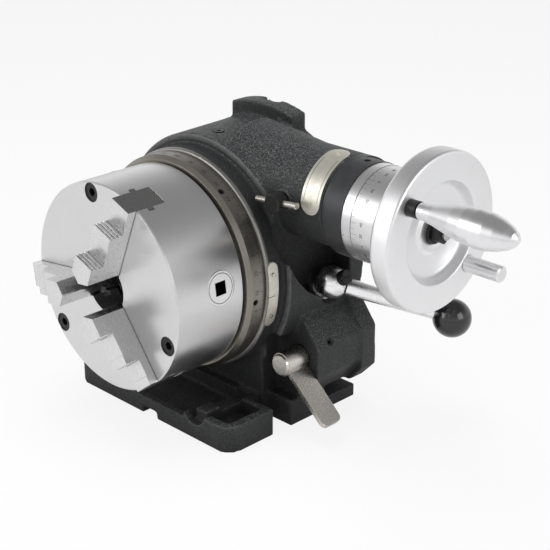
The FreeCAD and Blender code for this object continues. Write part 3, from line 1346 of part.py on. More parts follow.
# --------------------------------------------------------------------- assembly
body_casting()
bearings()
zero_plate()
nameplate()
housing_trim()
chuck_body()
chuck_back()
chuck_fasteners()
for number in (1, 2, 3):
    jaw(number)
scroll_plate()
for number in (1, 2, 3):
    chuck_pinion(number)
spindle()
spindle_flange()
spindle_rings()
worm_wheel()
index_ring()
eccentric_sleeve()
sleeve_rings()
worm_shaft()
handwheel()
crank()
ball_lever()
clamp_lever()
sleeve_clamp()
doc.recompute()

for thing in doc.Objects:
    if "Invalid" in thing.State or "Error" in thing.State:
        raise RuntimeError(f"{thing.Label} could not be built")
for thing in nodes:
    if thing.Shape.isNull() or not thing.Shape.isValid() or not thing.Shape.Solids:
        raise RuntimeError(f"{thing.Label} is not a valid solid")

os.makedirs("parts", exist_ok=True)
for thing in nodes:
    thing.Shape.exportStep(f"parts/{thing.Label}.step")
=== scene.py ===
"""Dividing head with a scroll chuck: the finishes, the engraving and the studio."""
import logging
import math
from abc import ABC, abstractmethod
from dataclasses import dataclass
from enum import Enum
from typing import ClassVar, Iterable, Sequence, Union

import bmesh
import bpy
from mathutils import Euler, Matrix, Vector


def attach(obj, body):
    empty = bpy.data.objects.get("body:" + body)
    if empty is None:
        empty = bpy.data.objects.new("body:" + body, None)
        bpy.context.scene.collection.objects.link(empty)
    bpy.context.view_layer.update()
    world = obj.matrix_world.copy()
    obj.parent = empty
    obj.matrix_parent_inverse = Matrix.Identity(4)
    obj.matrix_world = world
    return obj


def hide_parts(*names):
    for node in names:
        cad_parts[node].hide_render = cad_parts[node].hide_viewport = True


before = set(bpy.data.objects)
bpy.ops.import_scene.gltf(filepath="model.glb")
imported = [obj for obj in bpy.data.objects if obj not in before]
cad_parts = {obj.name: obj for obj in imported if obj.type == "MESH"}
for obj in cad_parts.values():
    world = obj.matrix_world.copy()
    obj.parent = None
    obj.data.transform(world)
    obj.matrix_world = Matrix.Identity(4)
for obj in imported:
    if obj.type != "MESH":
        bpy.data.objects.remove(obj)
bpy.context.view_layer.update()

MM = 0.001
Colour = tuple[float, float, float]
Point = tuple[float, float, float]
Span = tuple[float, float]
LOG = logging.getLogger("dividing_head")
# Painted shade: the dark colour mixed into metal near walls and in crevices, and how far from a wall
# it reaches.
PAINTED_CREVICE_SHADE: Colour = (0.035, 0.033, 0.03)
INK: Colour = (0.02, 0.02, 0.02)
PAINTED_SHADE_REACH = 1.6 * MM


class Axis(Enum):
    """The shaft that a turned piece belongs to."""

    SPINDLE = "spindle"
    WORM = "worm"
    GRIP = "grip"


SPINDLE_HEIGHT = 121 * MM
WORM_Y = 37.5 * MM
WORM_Z = 183.5 * MM
RING_RADIUS = 85 * MM
DIAL_RADIUS = 35.8 * MM
VERNIER_RADIUS = 36 * MM
RING_TURN = -0.6
VERNIER_ANGLE = -138.0
# One turn of the worm moves the spindle by this many degrees.
DIAL_DEGREES = 9
CENTRES: dict[Axis, Point] = {
    Axis.SPINDLE: (0.0, 0.0, SPINDLE_HEIGHT),
    Axis.WORM: (0.0, WORM_Y, WORM_Z),
    Axis.GRIP: (0.0, 1.52 * MM, 211.51 * MM),
}


# --------------------------------------------------------------------- shader tools
class Signal:
    """A shader socket on which arithmetic adds Math nodes."""

    def __init__(self, graph: "Graph", socket: bpy.types.NodeSocket) -> None:
        """Wrap a socket.

        Args:
            graph: The node graph that the socket belongs to.
            socket: The output socket.
        """
        self.graph = graph
        self.socket = socket

    def _math(self, operation: str, *values: "Operand") -> "Signal":
        """Add one Math node for an operation on values, in their order."""
        return self.graph.make("ShaderNodeMath", {"operation": operation},
                               dict(enumerate(values)))

    def __add__(self, other: "Operand") -> "Signal":
        """This plus another."""
        return self._math("ADD", self, other)

    def __radd__(self, other: "Operand") -> "Signal":
        """Another plus this."""
        return self._math("ADD", other, self)

    def __sub__(self, other: "Operand") -> "Signal":
        """This less another."""
        return self._math("SUBTRACT", self, other)

    def __rsub__(self, other: "Operand") -> "Signal":
        """Another less this."""
        return self._math("SUBTRACT", other, self)

    def __mul__(self, other: "Operand") -> "Signal":
        """This times another."""
        return self._math("MULTIPLY", self, other)

    def __rmul__(self, other: "Operand") -> "Signal":
        """Another times this."""
        return self._math("MULTIPLY", other, self)

    def __truediv__(self, other: "Operand") -> "Signal":
        """This divided by another."""
        return self._math("DIVIDE", self, other)

    def __gt__(self, other: "Operand") -> "Signal":
        """1 where this is greater, else 0."""
        return self._math("GREATER_THAN", self, other)

    def __lt__(self, other: "Operand") -> "Signal":
        """1 where this is less, else 0."""
        return self._math("LESS_THAN", self, other)

    def __abs__(self) -> "Signal":
        """The size of this, without its sign."""
        return self._math("ABSOLUTE", self)

    def root(self) -> "Signal":
        """The square root."""
        return self._math("SQRT", self)

    def angle_from(self, across: "Operand") -> "Signal":
        """The angle of a point whose height is this and whose reach is across."""
        return self._math("ARCTAN2", self, across)

    def cosine(self) -> "Signal":
        """The cosine of this angle."""
        return self._math("COSINE", self)

    def sine(self) -> "Signal":
        """The sine of this angle."""
        return self._math("SINE", self)

    def wrapped(self, high: float, low: float) -> "Signal":
        """This, wrapped into a range."""
        return self._math("WRAP", self, high, low)

    def larger(self, other: "Operand") -> "Signal":
        """The larger of this and another."""
        return self._math("MAXIMUM", self, other)

    def within(self, span: Span) -> "Signal":
        """1 where this lies inside a span, else 0."""
        low, high = span
        return (self > low) * (self < high)

    def eased(self, low: float, high: float) -> "Signal":
        """0 below low, 1 above high and smooth between them."""
        return self.graph.make("ShaderNodeMapRange", {"interpolation_type": "SMOOTHSTEP"},
                               {"Value": self, "From Min": low, "From Max": high})


Operand = Union[Signal, float, int]


class Graph:
    """The node graph of one material or of the world."""

    def __init__(self, tree: bpy.types.NodeTree) -> None:
        """Empty a node tree and keep it.

        Args:
            tree: The tree to build in.
        """
        self.tree = tree
        tree.nodes.clear()

    def make(self, kind: str, settings: dict[str, object], inputs: dict[object, object],
             output: Union[str, int] = 0) -> Signal:
        """Add one node.

        Args:
            kind: The node's type.
            settings: Attributes, set before the sockets are touched.
            inputs: Values or signals, by the name or number of their socket.
            output: The name or number of the output that is returned.

        Returns:
            The wanted output.
        """
        node = self.tree.nodes.new(kind)
        for word, setting in settings.items():
            setattr(node, word, setting)
        for word, given in inputs.items():
            if isinstance(given, Signal):
                self.tree.links.new(given.socket, node.inputs[word])
            else:
                node.inputs[word].default_value = given
        return Signal(self, node.outputs[output])

    def place(self) -> tuple[Signal, Signal, Signal]:
        """The object's own x, y and z."""
        spot = self.make("ShaderNodeTexCoord", {}, {}, "Object")
        return tuple(self.make("ShaderNodeSeparateXYZ", {}, {0: spot}, word) for word in "XYZ")

    def vector(self, x: Operand, y: Operand, z: Operand) -> Signal:
        """A vector of three values."""
        return self.make("ShaderNodeCombineXYZ", {}, {"X": x, "Y": y, "Z": z})

    def noise(self, scale: float, detail: float = 3.0, vector: Union[Signal, None] = None) -> Signal:
        """Noise from 0 to 1.

        Args:
            scale: Blotches to the metre.
            detail: Octaves of finer noise.
            vector: Where it is read, or None for the object's own place.

        Returns:
            The noise.
        """
        spot = vector or self.make("ShaderNodeTexCoord", {}, {}, "Object")
        return self.make("ShaderNodeTexNoise", {},
                         {"Vector": spot, "Scale": scale, "Detail": detail}, "Fac")

    def mixed(self, share: Operand, first: object, second: object) -> Signal:
        """Two colours mixed.

        Args:
            share: How much of the second shows.
            first: The colour at share 0.
            second: The colour at share 1.

        Returns:
            The mixed colour.
        """
        def full(colour: object) -> object:
            """A colour with its fourth value."""
            return colour if isinstance(colour, Signal) else (*colour, 1.0)
        return self.make("ShaderNodeMix", {"data_type": "RGBA"},
                         {0: share, 6: full(first), 7: full(second)}, 2)

    def with_painted_shade(self, colour: Signal, dark: Union[Signal, None] = None) -> Signal:
        """A metal's colour, darkened near walls and in crevices by painted shade.

        Args:
            colour: The metal's own colour.
            dark: 1 where painted shade darkens the open surface too, or None.

        Returns:
            The colour with the painted shade.
        """
        unshaded = self.crevice(PAINTED_SHADE_REACH).eased(0.1, 0.9)
        if dark:
            unshaded = unshaded * (1 - dark)
        return self.mixed(unshaded, PAINTED_CREVICE_SHADE, colour)

    def bump(self, height: Signal, depth: float, under: Union[Signal, None] = None) -> Signal:
        """A normal bent by a height.

        Args:
            height: The height, from 0 to 1.
            depth: The real height of 1, in metres.
            under: A normal that it is added to.

        Returns:
            The normal.
        """
        inputs: dict[object, object] = {"Height": height, "Distance": depth, "Strength": 1.0}
        if under:
            inputs["Normal"] = under
        return self.make("ShaderNodeBump", {}, inputs)

    def soft_edge(self, radius: float) -> Signal:
        """A normal that rounds sharp edges over a radius in metres."""
        return self.make("ShaderNodeBevel", {"samples": 4}, {"Radius": radius})

    def crevice(self, reach: float) -> Signal:
        """How open the surface is: 1 in the open and less within a reach of a wall."""
        return self.make("ShaderNodeAmbientOcclusion", {"samples": 6}, {"Distance": reach}, "AO")

    def turned(self, axis: Axis) -> tuple[Signal, Signal, Signal]:
        """Cylinder coordinates about a shaft.

        Args:
            axis: The shaft.

        Returns:
            Radius, place along the shaft and angle in radians.
        """
        x, y, z = self.place()
        _, mid_y, mid_z = CENTRES[axis]
        across, along = (x, y) if axis is Axis.SPINDLE else (y - mid_y, x)
        upward = z - mid_z
        return ((across * across + upward * upward).root(), along, upward.angle_from(across))

    def finish(self, **inputs: object) -> None:
        """Close the graph with a surface.

        Args:
            inputs: The surface's sockets, with _ for the spaces in their names.
        """
        named = {word.replace("_", " "): given for word, given in inputs.items()}
        surface = self.make("ShaderNodeBsdfPrincipled", {}, named)
        self.make_output(surface)

    def ray(self, word: str) -> Signal:
        """1 for one kind of ray, such as Camera or Glossy."""
        return self.make("ShaderNodeLightPath", {}, {}, f"Is {word} Ray")

    def seen_directly(self) -> Signal:
        """1 for rays that come straight from the camera or through glass."""
        return self.ray("Camera").larger(self.ray("Transmission"))

    def make_output(self, surface: Signal, kind: str = "ShaderNodeOutputMaterial") -> None:
        """Link a surface to the output of the material or of the world."""
        node = self.tree.nodes.new(kind)
        self.tree.links.new(surface.socket, node.inputs["Surface"])


# ------------------------------------------------------------------------- finishes
class Finish(ABC):
    """A finish that gives one material, made when it is first asked for."""

    made: ClassVar[dict["Finish", bpy.types.Material]] = {}
    name: str

    @abstractmethod
    def shade(self, graph: Graph) -> None:
        """Build the finish in a node graph.

        Args:
            graph: The empty graph of its material.
        """

    def material(self) -> bpy.types.Material:
        """The finish's material.

        Returns:
            The same material each time.
        """
        if self not in Finish.made:
            made = bpy.data.materials.new(self.name)
            made.use_nodes = True
            self.shade(Graph(made.node_tree))
            Finish.made[self] = made
        return Finish.made[self]


@dataclass(frozen=True)
class CastPaint(Finish):
    """Charcoal paint over rough cast iron, bare where the iron is machined, with painted top light
    and painted shade in its recesses.

    Scales are blotches to the metre. Edges, places and radii are in the part's frame.
    """

    name: str = "cast_paint"
    deep: Colour = (0.012, 0.013, 0.0135)
    speck_and_top_light: Colour = (0.150, 0.154, 0.158)
    rubbed: Colour = (0.20, 0.202, 0.20)
    shade_colour: Colour = (0.004, 0.004, 0.0045)
    bare: Colour = (0.36, 0.35, 0.33)
    bare_dull: Colour = (0.26, 0.25, 0.235)
    grain_scale: float = 980.0
    lump_scale: float = 230.0
    cloud_scale: float = 22.0
    tool_scale: float = 900.0
    grain_depth: float = 0.42 * MM
    lump_depth: float = 0.5 * MM
    shade_reach: float = 45 * MM
    neck_edge: float = -9.2 * MM
    neck_radii: Span = (60 * MM, 89 * MM)
    band_edge: float = 3.4 * MM
    band_radii: Span = (60 * MM, 90 * MM)
    crease_place: float = 4.3 * MM
    crease_half: float = 0.8 * MM
    crease_radii: Span = (90.6 * MM, 96 * MM)
    rear_edge: float = 83.2 * MM
    foot_edge: float = 0.4 * MM
    boss_edge: float = 121.6 * MM

    def machined(self, graph: Graph) -> Signal:
        """The bare faces: the neck behind the ring, the rear, the underside and the boss's end.

        Args:
            graph: The graph of the material.

        Returns:
            1 on a machined face.
        """
        x, y, z = graph.place()
        radius = graph.turned(Axis.SPINDLE)[0]
        neck = (y < self.neck_edge) * radius.within(self.neck_radii)
        rear = y > self.rear_edge
        under = z < self.foot_edge
        return neck.larger(rear).larger(under).larger(x > self.boss_edge)

    def shade(self, graph: Graph) -> None:
        """Build the finish in a node graph.

        Args:
            graph: The empty graph of its material.
        """
        radius, along, _ = graph.turned(Axis.SPINDLE)
        grain = graph.noise(self.grain_scale, 4.0)
        lumps = graph.noise(self.lump_scale)
        cloud = graph.noise(self.cloud_scale, 2.0)
        edge = graph.make("ShaderNodeNewGeometry", {}, {}, "Pointiness")
        facing = graph.make("ShaderNodeNewGeometry", {}, {}, "Normal")
        upward = graph.make("ShaderNodeSeparateXYZ", {}, {0: facing}, "Z").eased(-0.1, 0.9)
        band = (along < self.band_edge) * radius.within(self.band_radii)
        crease = ((abs(along - self.crease_place) < self.crease_half)
                  * radius.within(self.crease_radii))
        worn = (edge.eased(0.515, 0.60) * (0.35 + 0.65 * lumps)).larger(crease * lumps * 1.3)
        speck = grain.eased(0.46, 0.68) * (1 - band * 0.8)
        # Painted top light: the speckle turns lighter on faces that look up, as if lit from above.
        colour = graph.mixed(speck * (0.10 + 0.30 * cloud + 0.55 * upward), self.deep,
                             self.speck_and_top_light)
        colour = graph.mixed(worn * 0.6, colour, self.rubbed)
        # Painted shade: the paint darkens towards shade_colour within shade_reach of other surfaces,
        # in recesses and under overhangs.
        painted_recess_shade = 1 - graph.crevice(self.shade_reach).eased(0.25, 0.95)
        colour = graph.mixed(painted_recess_shade * 0.85, colour, self.shade_colour)
        machined = self.machined(graph)
        tooled = graph.noise(self.tool_scale, 2.0, graph.vector(radius, along, 0.0))
        bare = graph.mixed(tooled, self.bare_dull, self.bare)
        height = grain * 0.7 + lumps * (self.lump_depth / self.grain_depth)
        graph.finish(Base_Color=graph.mixed(machined, colour, bare),
                     Metallic=machined * 0.95,
                     Roughness=0.48 + 0.16 * lumps + 0.3 * painted_recess_shade - machined * 0.2,
                     Normal=graph.bump(height * (1 - machined * 0.96), self.grain_depth))


@dataclass(frozen=True)
class TurnedMetal(Finish):
    """Metal with the fine rings that a lathe leaves, faint stains, soft edges and painted shade in
    its crevices.
    """

    name: str
    axis: Axis
    pale: Colour
    dull: Colour
    roughness: float = 0.26
    ring_scale: float = 1500.0
    ring_depth: float = 0.012 * MM
    edge: float = 0.35 * MM
    metallic: float = 1.0
    ink: float = 0.85
    ring_share: float = 0.35
    stain_scale: float = 38.0
    stain_share: float = 0.55
    pit_scale: float = 1900.0

    def marks(self, graph: Graph) -> Union[Signal, None]:
        """The engraved marks, 1 where the metal is marked, or None for a bare piece.

        Args:
            graph: The graph of the material.

        Returns:
            The marks or None.
        """
        return None

    def shade(self, graph: Graph) -> None:
        """Build the finish in a node graph.

        Args:
            graph: The empty graph of its material.
        """
        radius, along, _ = graph.turned(self.axis)
        rings = graph.noise(self.ring_scale, vector=graph.vector(radius, along, 0.0))
        stains = graph.noise(self.stain_scale, 4.0)
        pits = graph.noise(self.pit_scale, 2.0)
        colour = graph.mixed(self.stain_share * stains + self.ring_share * rings, self.pale,
                             self.dull)
        # Painted shade: darker near walls and in crevices.
        colour = graph.with_painted_shade(colour)
        marks = self.marks(graph)
        rough = self.roughness + self.ring_share * (rings - 0.5) / 3 + 0.10 * (stains - 0.5)
        if marks:
            colour = graph.mixed(marks * self.ink, colour, INK)
            rough = rough + marks * 0.3
        graph.finish(Base_Color=colour, Metallic=self.metallic, Roughness=rough,
                     Normal=graph.bump(rings * 0.8 + pits * 0.4, self.ring_depth,
                                       graph.soft_edge(self.edge)))


@dataclass(frozen=True)
class ScaledMetal(TurnedMetal):
    """Turned metal with graduation lines that start at one edge."""

    divisions: float = 360.0
    middle: float = 5.0
    full: float = 10.0
    from_place: float = 0.0
    toward: float = -1.0
    lengths: Point = (3.0 * MM, 4.4 * MM, 5.6 * MM)
    half_line: float = 0.13 * MM
    line_start: float = 0.25 * MM
    line_depth: float = 0.6 * MM
    surface: float = RING_RADIUS
    arc: float = 360.0
    arc_middle: float = 0.0
    turn: float = 0.0

    def marks(self, graph: Graph) -> Union[Signal, None]:
        """The graduation lines.

        Args:
            graph: The graph of the material.

        Returns:
            1 on a line.
        """
        radius, along, angle = graph.turned(self.axis)
        depth = (along - self.from_place) * self.toward
        found: Union[Signal, None] = None
        for every, length in zip((1.0, self.middle, self.full), self.lengths):
            step = 2 * math.pi * every / self.divisions
            turned = angle - math.radians(self.turn)
            off = abs(turned.wrapped(step / 2, -step / 2)) * self.surface
            line = (off < self.half_line) * depth.within((self.line_start, length))
            found = line if found is None else found.larger(line)
        if self.arc < 360:
            apart = (angle - math.radians(self.arc_middle)).wrapped(math.pi, -math.pi)
            found = found * (abs(apart) < math.radians(self.arc / 2))
        return found * (radius > self.surface - self.line_depth)


@dataclass(frozen=True)
class GroundMetal(Finish):
    """Metal ground or filed along one way, with soft edges, faint stains and painted shade in its
    crevices.
    """

    name: str
    pale: Colour
    dull: Colour
    roughness: float = 0.28
    stroke: Point = (90.0, 1500.0, 1500.0)
    depth: float = 0.02 * MM
    edge: float = 0.4 * MM
    metallic: float = 1.0
    stain_scale: float = 70.0

    def shade(self, graph: Graph) -> None:
        """Build the finish in a node graph.

        Args:
            graph: The empty graph of its material.
        """
        x, y, z = graph.place()
        long, wide, high = self.stroke
        strokes = graph.noise(1.0, vector=graph.vector(x * long, y * wide, z * high))
        stains = graph.noise(self.stain_scale, 4.0)
        colour = graph.mixed(0.5 * stains + 0.4 * strokes, self.pale, self.dull)
        # Painted shade: darker near walls and in crevices, and wherever shaded paints shade.
        colour = graph.with_painted_shade(colour, self.shaded(graph))
        graph.finish(Base_Color=colour, Metallic=self.metallic,
                     Roughness=self.roughness + 0.16 * (strokes - 0.5) + 0.14 * (stains - 0.5),
                     Normal=graph.bump(strokes, self.depth, graph.soft_edge(self.edge)))

    def shaded(self, graph: Graph) -> Union[Signal, None]:
        """Where painted shade darkens the metal, or None.

        Args:
            graph: The graph of the material.

        Returns:
            1 where it is dark, or None.
        """
        return None


@dataclass(frozen=True)
class ChuckPiece(GroundMetal):
    """Ground metal of the pieces that repeat three times round the chuck."""

    first: float = 67.5
    pinion: bool = False
    jaw_end: float = 79.1 * MM
    jaw_shade: float = 0.62
    pinion_y: float = -51.6 * MM
    socket_radius: float = 7.3 * MM
    socket_mouth: float = 78.9 * MM
    groove_radius: float = 11.2 * MM
    groove_half: float = 0.35 * MM
    groove_shade: float = 0.8

    def shaded(self, graph: Graph) -> Union[Signal, None]:
        """Painted shade on the outer end of a jaw, or in the key socket of a pinion and on the ring
        around it.

        Args:
            graph: The graph of the material.

        Returns:
            1 where it is dark.
        """
        radius, along, angle = graph.turned(Axis.SPINDLE)
        third = math.pi / 3
        turn = (angle - math.radians(self.first)).wrapped(third, -third)
        reach = radius * turn.cosine()
        if not self.pinion:
            # Painted shade: the jaw's outer end is darkened as if it lay in a recess.
            return (reach > self.jaw_end) * self.jaw_shade
        across = radius * turn.sine()
        high = along - self.pinion_y
        off = (across * across + high * high).root()
        # Painted shade: the key socket is dark inside, and a thin dark ring round it stands for the
        # shade in a groove.
        socket = (off < self.socket_radius) * (reach < self.socket_mouth)
        groove = (abs(off - self.groove_radius) < self.groove_half) * self.groove_shade
        return socket.larger(groove)


@dataclass(frozen=True)
class DarkMetal(Finish):
    """Blackened steel with a dull sheen, browner where it has been handled."""

    name: str
    dark: Colour = (0.010, 0.010, 0.011)
    light: Colour = (0.045, 0.043, 0.042)
    roughness: float = 0.38
    edge: float = 0.35 * MM
    metallic: float = 0.55
    cloud_scale: float = 120.0
    grain_scale: float = 2200.0
    grain_depth: float = 0.02 * MM

    def shade(self, graph: Graph) -> None:
        """Build the finish in a node graph.

        Args:
            graph: The empty graph of its material.
        """
        cloud = graph.noise(self.cloud_scale, 4.0)
        grain = graph.noise(self.grain_scale)
        graph.finish(Base_Color=graph.mixed(cloud * 0.6 + grain * 0.3, self.dark, self.light),
                     Metallic=self.metallic, Roughness=self.roughness + 0.2 * (cloud - 0.4),
                     Normal=graph.bump(grain, self.grain_depth, graph.soft_edge(self.edge)))


@dataclass(frozen=True)
class BallGloss(Finish):
    """Glossy black moulded ball with faint wiping marks."""

    name: str = "ball_gloss"
    dark: Colour = (0.006, 0.006, 0.007)
    light: Colour = (0.016, 0.016, 0.018)
    wipe_scale: float = 160.0
    haze_scale: float = 45.0
    wipe_depth: float = 0.012 * MM
    coat: float = 0.4

    def shade(self, graph: Graph) -> None:
        """Build the finish in a node graph.

        Args:
            graph: The empty graph of its material.
        """
        wipe = graph.noise(self.wipe_scale, 5.0)
        haze = graph.noise(self.haze_scale, 2.0)
        graph.finish(Base_Color=graph.mixed(haze, self.dark, self.light),
                     Roughness=0.10 + 0.16 * wipe,
                     Normal=graph.bump(wipe, self.wipe_depth), Coat_Weight=self.coat)


@dataclass(frozen=True)
class PlateMetal(Finish):
    """A bare thin plate, with a printed border line or a single index line."""

    name: str
    pale: Colour = (0.84, 0.81, 0.70)
    dull: Colour = (0.46, 0.45, 0.41)
    ink: Colour = (0.03, 0.03, 0.03)
    border: bool = True
    stain_scale: float = 240.0
    grain_scale: float = 2600.0
    grain_depth: float = 0.01 * MM
    edge: float = 0.2 * MM
    border_middle: float = 111 * MM
    border_span: Span = (6.1 * MM, 6.6 * MM)
    border_angle: float = 136.5
    border_radius: float = 40 * MM
    border_half_length: float = 21.5 * MM
    index_angle: float = -4.4
    index_radius: float = 88 * MM
    index_half: float = 0.28 * MM
    index_end: float = -5.5 * MM

    def printed(self, graph: Graph) -> Signal:
        """The border line of the long plate, or the index line of the small one.

        Args:
            graph: The graph of the material.

        Returns:
            How dark the print is, from 0 to 1.
        """
        if self.border:
            _, along, angle = graph.turned(Axis.WORM)
            turned = (math.radians(self.border_angle) - angle).wrapped(math.pi, -math.pi)
            line = abs(along - self.border_middle).within(self.border_span)
            return line * (abs(turned) * self.border_radius < self.border_half_length) * 0.75
        _, along, angle = graph.turned(Axis.SPINDLE)
        off = abs(angle - math.radians(self.index_angle)) * self.index_radius
        return (off < self.index_half) * (along < self.index_end) * 0.9

    def shade(self, graph: Graph) -> None:
        """Build the finish in a node graph.

        Args:
            graph: The empty graph of its material.
        """
        stains = graph.noise(self.stain_scale, 4.0)
        grain = graph.noise(self.grain_scale, 2.0)
        colour = graph.mixed(stains * 0.7, self.pale, self.dull)
        graph.finish(Base_Color=graph.mixed(self.printed(graph), colour, self.ink),
                     Metallic=0.85, Roughness=0.30 + 0.2 * stains,
                     Normal=graph.bump(grain, self.grain_depth, graph.soft_edge(self.edge)))


@dataclass(frozen=True)
class MarkInk(Finish):
    """The dark filling of engraved numbers."""

    name: str = "mark_ink"
    dark: Colour = (0.012, 0.012, 0.012)
    worn: Colour = (0.05, 0.048, 0.045)
    wear_scale: float = 1400.0

    def shade(self, graph: Graph) -> None:
        """Build the finish in a node graph.

        Args:
            graph: The empty graph of its material.
        """
        wear = graph.noise(self.wear_scale)
        graph.finish(Base_Color=graph.mixed(wear, self.dark, self.worn),
                     Roughness=0.55 + 0.2 * wear)


CHUCK_STEEL = TurnedMetal("chuck_steel", Axis.SPINDLE, (0.74, 0.735, 0.74), (0.60, 0.595, 0.60),
                          roughness=0.30, ring_depth=0.0022 * MM, ring_share=0.14,
                          stain_share=0.35)
SHAFT_STEEL = TurnedMetal("shaft_steel", Axis.SPINDLE, (0.55, 0.55, 0.55), (0.40, 0.395, 0.385))
WORM_STEEL = TurnedMetal("worm_steel", Axis.WORM, (0.58, 0.58, 0.58), (0.42, 0.42, 0.41))
WHEEL_ALLOY = TurnedMetal("wheel_alloy", Axis.WORM, (0.88, 0.88, 0.89), (0.76, 0.76, 0.775),
                          roughness=0.44, ring_scale=900.0, ring_depth=0.002 * MM, edge=0.5 * MM,
                          ring_share=0.1, stain_share=0.3)
GRIP_ALLOY = TurnedMetal("grip_alloy", Axis.GRIP, (0.86, 0.86, 0.87), (0.70, 0.70, 0.72),
                         roughness=0.30, ring_scale=600.0, ring_depth=0.002 * MM,
                         ring_share=0.1, stain_share=0.3)
RING_STEEL = ScaledMetal("ring_steel", Axis.SPINDLE, (0.37, 0.35, 0.31), (0.17, 0.158, 0.14),
                         roughness=0.36, from_place=-12.5 * MM, turn=RING_TURN,
                         half_line=0.2 * MM, stain_share=0.8)
DIAL_CHROME = ScaledMetal("dial_chrome", Axis.WORM, (0.86, 0.855, 0.865), (0.74, 0.735, 0.745),
                          roughness=0.33, divisions=6.0 * DIAL_DEGREES, middle=2.0, full=6.0,
                          from_place=153.6 * MM, toward=1.0, surface=DIAL_RADIUS,
                          lengths=(3.4 * MM, 5.0 * MM, 6.4 * MM), ink=0.6)
VERNIER_CHROME = ScaledMetal("vernier_chrome", Axis.WORM, (0.86, 0.855, 0.865),
                             (0.74, 0.735, 0.745), roughness=0.33, divisions=60.0,
                             from_place=153.3 * MM, surface=VERNIER_RADIUS,
                             lengths=(2.8 * MM, 4.2 * MM, 5.0 * MM), arc=66.0,
                             arc_middle=VERNIER_ANGLE, ink=0.6)
BRONZE = TurnedMetal("bronze", Axis.SPINDLE, (0.62, 0.38, 0.16), (0.40, 0.24, 0.10))
JAW_STEEL = ChuckPiece("jaw_steel", (0.80, 0.80, 0.80), (0.60, 0.60, 0.60), roughness=0.27,
                       stroke=(260.0, 260.0, 260.0), depth=0.004 * MM, edge=0.06 * MM)
PINION_STEEL = ChuckPiece("pinion_steel", (0.84, 0.84, 0.84), (0.66, 0.66, 0.66), roughness=0.24,
                          stroke=(260.0, 260.0, 260.0), depth=0.004 * MM, first=7.5,
                          pinion=True)
NICKEL = GroundMetal("nickel", (0.74, 0.71, 0.66), (0.50, 0.475, 0.43), roughness=0.27,
                     stroke=(700.0, 700.0, 700.0), depth=0.010 * MM, edge=0.9 * MM)
BRIGHT_CHROME = GroundMetal("bright_chrome", (0.95, 0.95, 0.96), (0.86, 0.86, 0.87),
                            roughness=0.27, stroke=(300.0, 300.0, 300.0), depth=0.01 * MM)
BLACK_OXIDE = DarkMetal("black_oxide")
COLLAR_BLACK = DarkMetal("collar_black", (0.028, 0.029, 0.031), (0.075, 0.076, 0.08), 0.42)
NODE_FINISHES: dict[Finish, tuple[str, ...]] = {
    CHUCK_STEEL: ("chuck_body",),
    SHAFT_STEEL: ("spindle", "spindle_flange", "wheel_key", "brake_ring", "chuck_back", "pinion_pins",
                  "lock_cotter", "scroll_plate"),
    WORM_STEEL: ("worm_shaft", "handwheel_key"),
    WHEEL_ALLOY: ("handwheel",),
    GRIP_ALLOY: ("crank_grip", "counter_pin"),
    RING_STEEL: ("index_ring",),
    DIAL_CHROME: ("micrometer_dial",),
    VERNIER_CHROME: ("vernier_ring",),
    BRONZE: ("front_bush", "rear_bush", "worm_bushes", "worm_wheel", "brake_plunger"),
    JAW_STEEL: ("jaw_1", "jaw_2", "jaw_3"),
    PINION_STEEL: ("chuck_pinion_1", "chuck_pinion_2", "chuck_pinion_3"),
    NICKEL: ("clamp_lever", "clamp_shaft", "zero_plate_screws", "sleeve_clamp_bar"),
    BRIGHT_CHROME: ("ball_lever_hub", "ball_lever_rod"),
    BallGloss(): ("ball_lever_knob",),
    BLACK_OXIDE: ("rear_cover", "rear_cover_screws", "oil_cup", "shaft_set_screw", "spindle_nut",
                  "index_ring_screws", "chuck_screws", "collar_screws", "handwheel_washer",
                  "handwheel_nut", "crank_stud", "lock_screw", "sleeve_clamp_screw"),
    COLLAR_BLACK: ("eccentric_sleeve", "sleeve_flange", "sleeve_collar"),
    PlateMetal("name_plate"): ("nameplate", "nameplate_rivets"),
    PlateMetal("zero_plate_metal", ink=INK, border=False): ("zero_plate",),
}


# --------------------------------------------------------------------------- pieces
class Assembly(ABC):
    """A sub-assembly that builds its pieces and dresses them."""

    @abstractmethod
    def build(self) -> Iterable[bpy.types.Object]:
        """Make the pieces.

        Returns:
            The new pieces.
        """

    def add(self, name: str, mesh: bpy.types.Mesh, body: str, slot: str,
            finish: Finish) -> bpy.types.Object:
        """Make one piece from a mesh.

        Args:
            name: The piece's name.
            mesh: Its mesh, in the part's frame.
            body: The moving body that it rides on.
            slot: Not used.
            finish: Its finish.

        Returns:
            The piece.
        """
        piece = bpy.data.objects.new(name, mesh)
        bpy.context.scene.collection.objects.link(piece)
        mesh.materials.clear()
        mesh.materials.append(finish.material())
        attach(piece, body)
        return piece


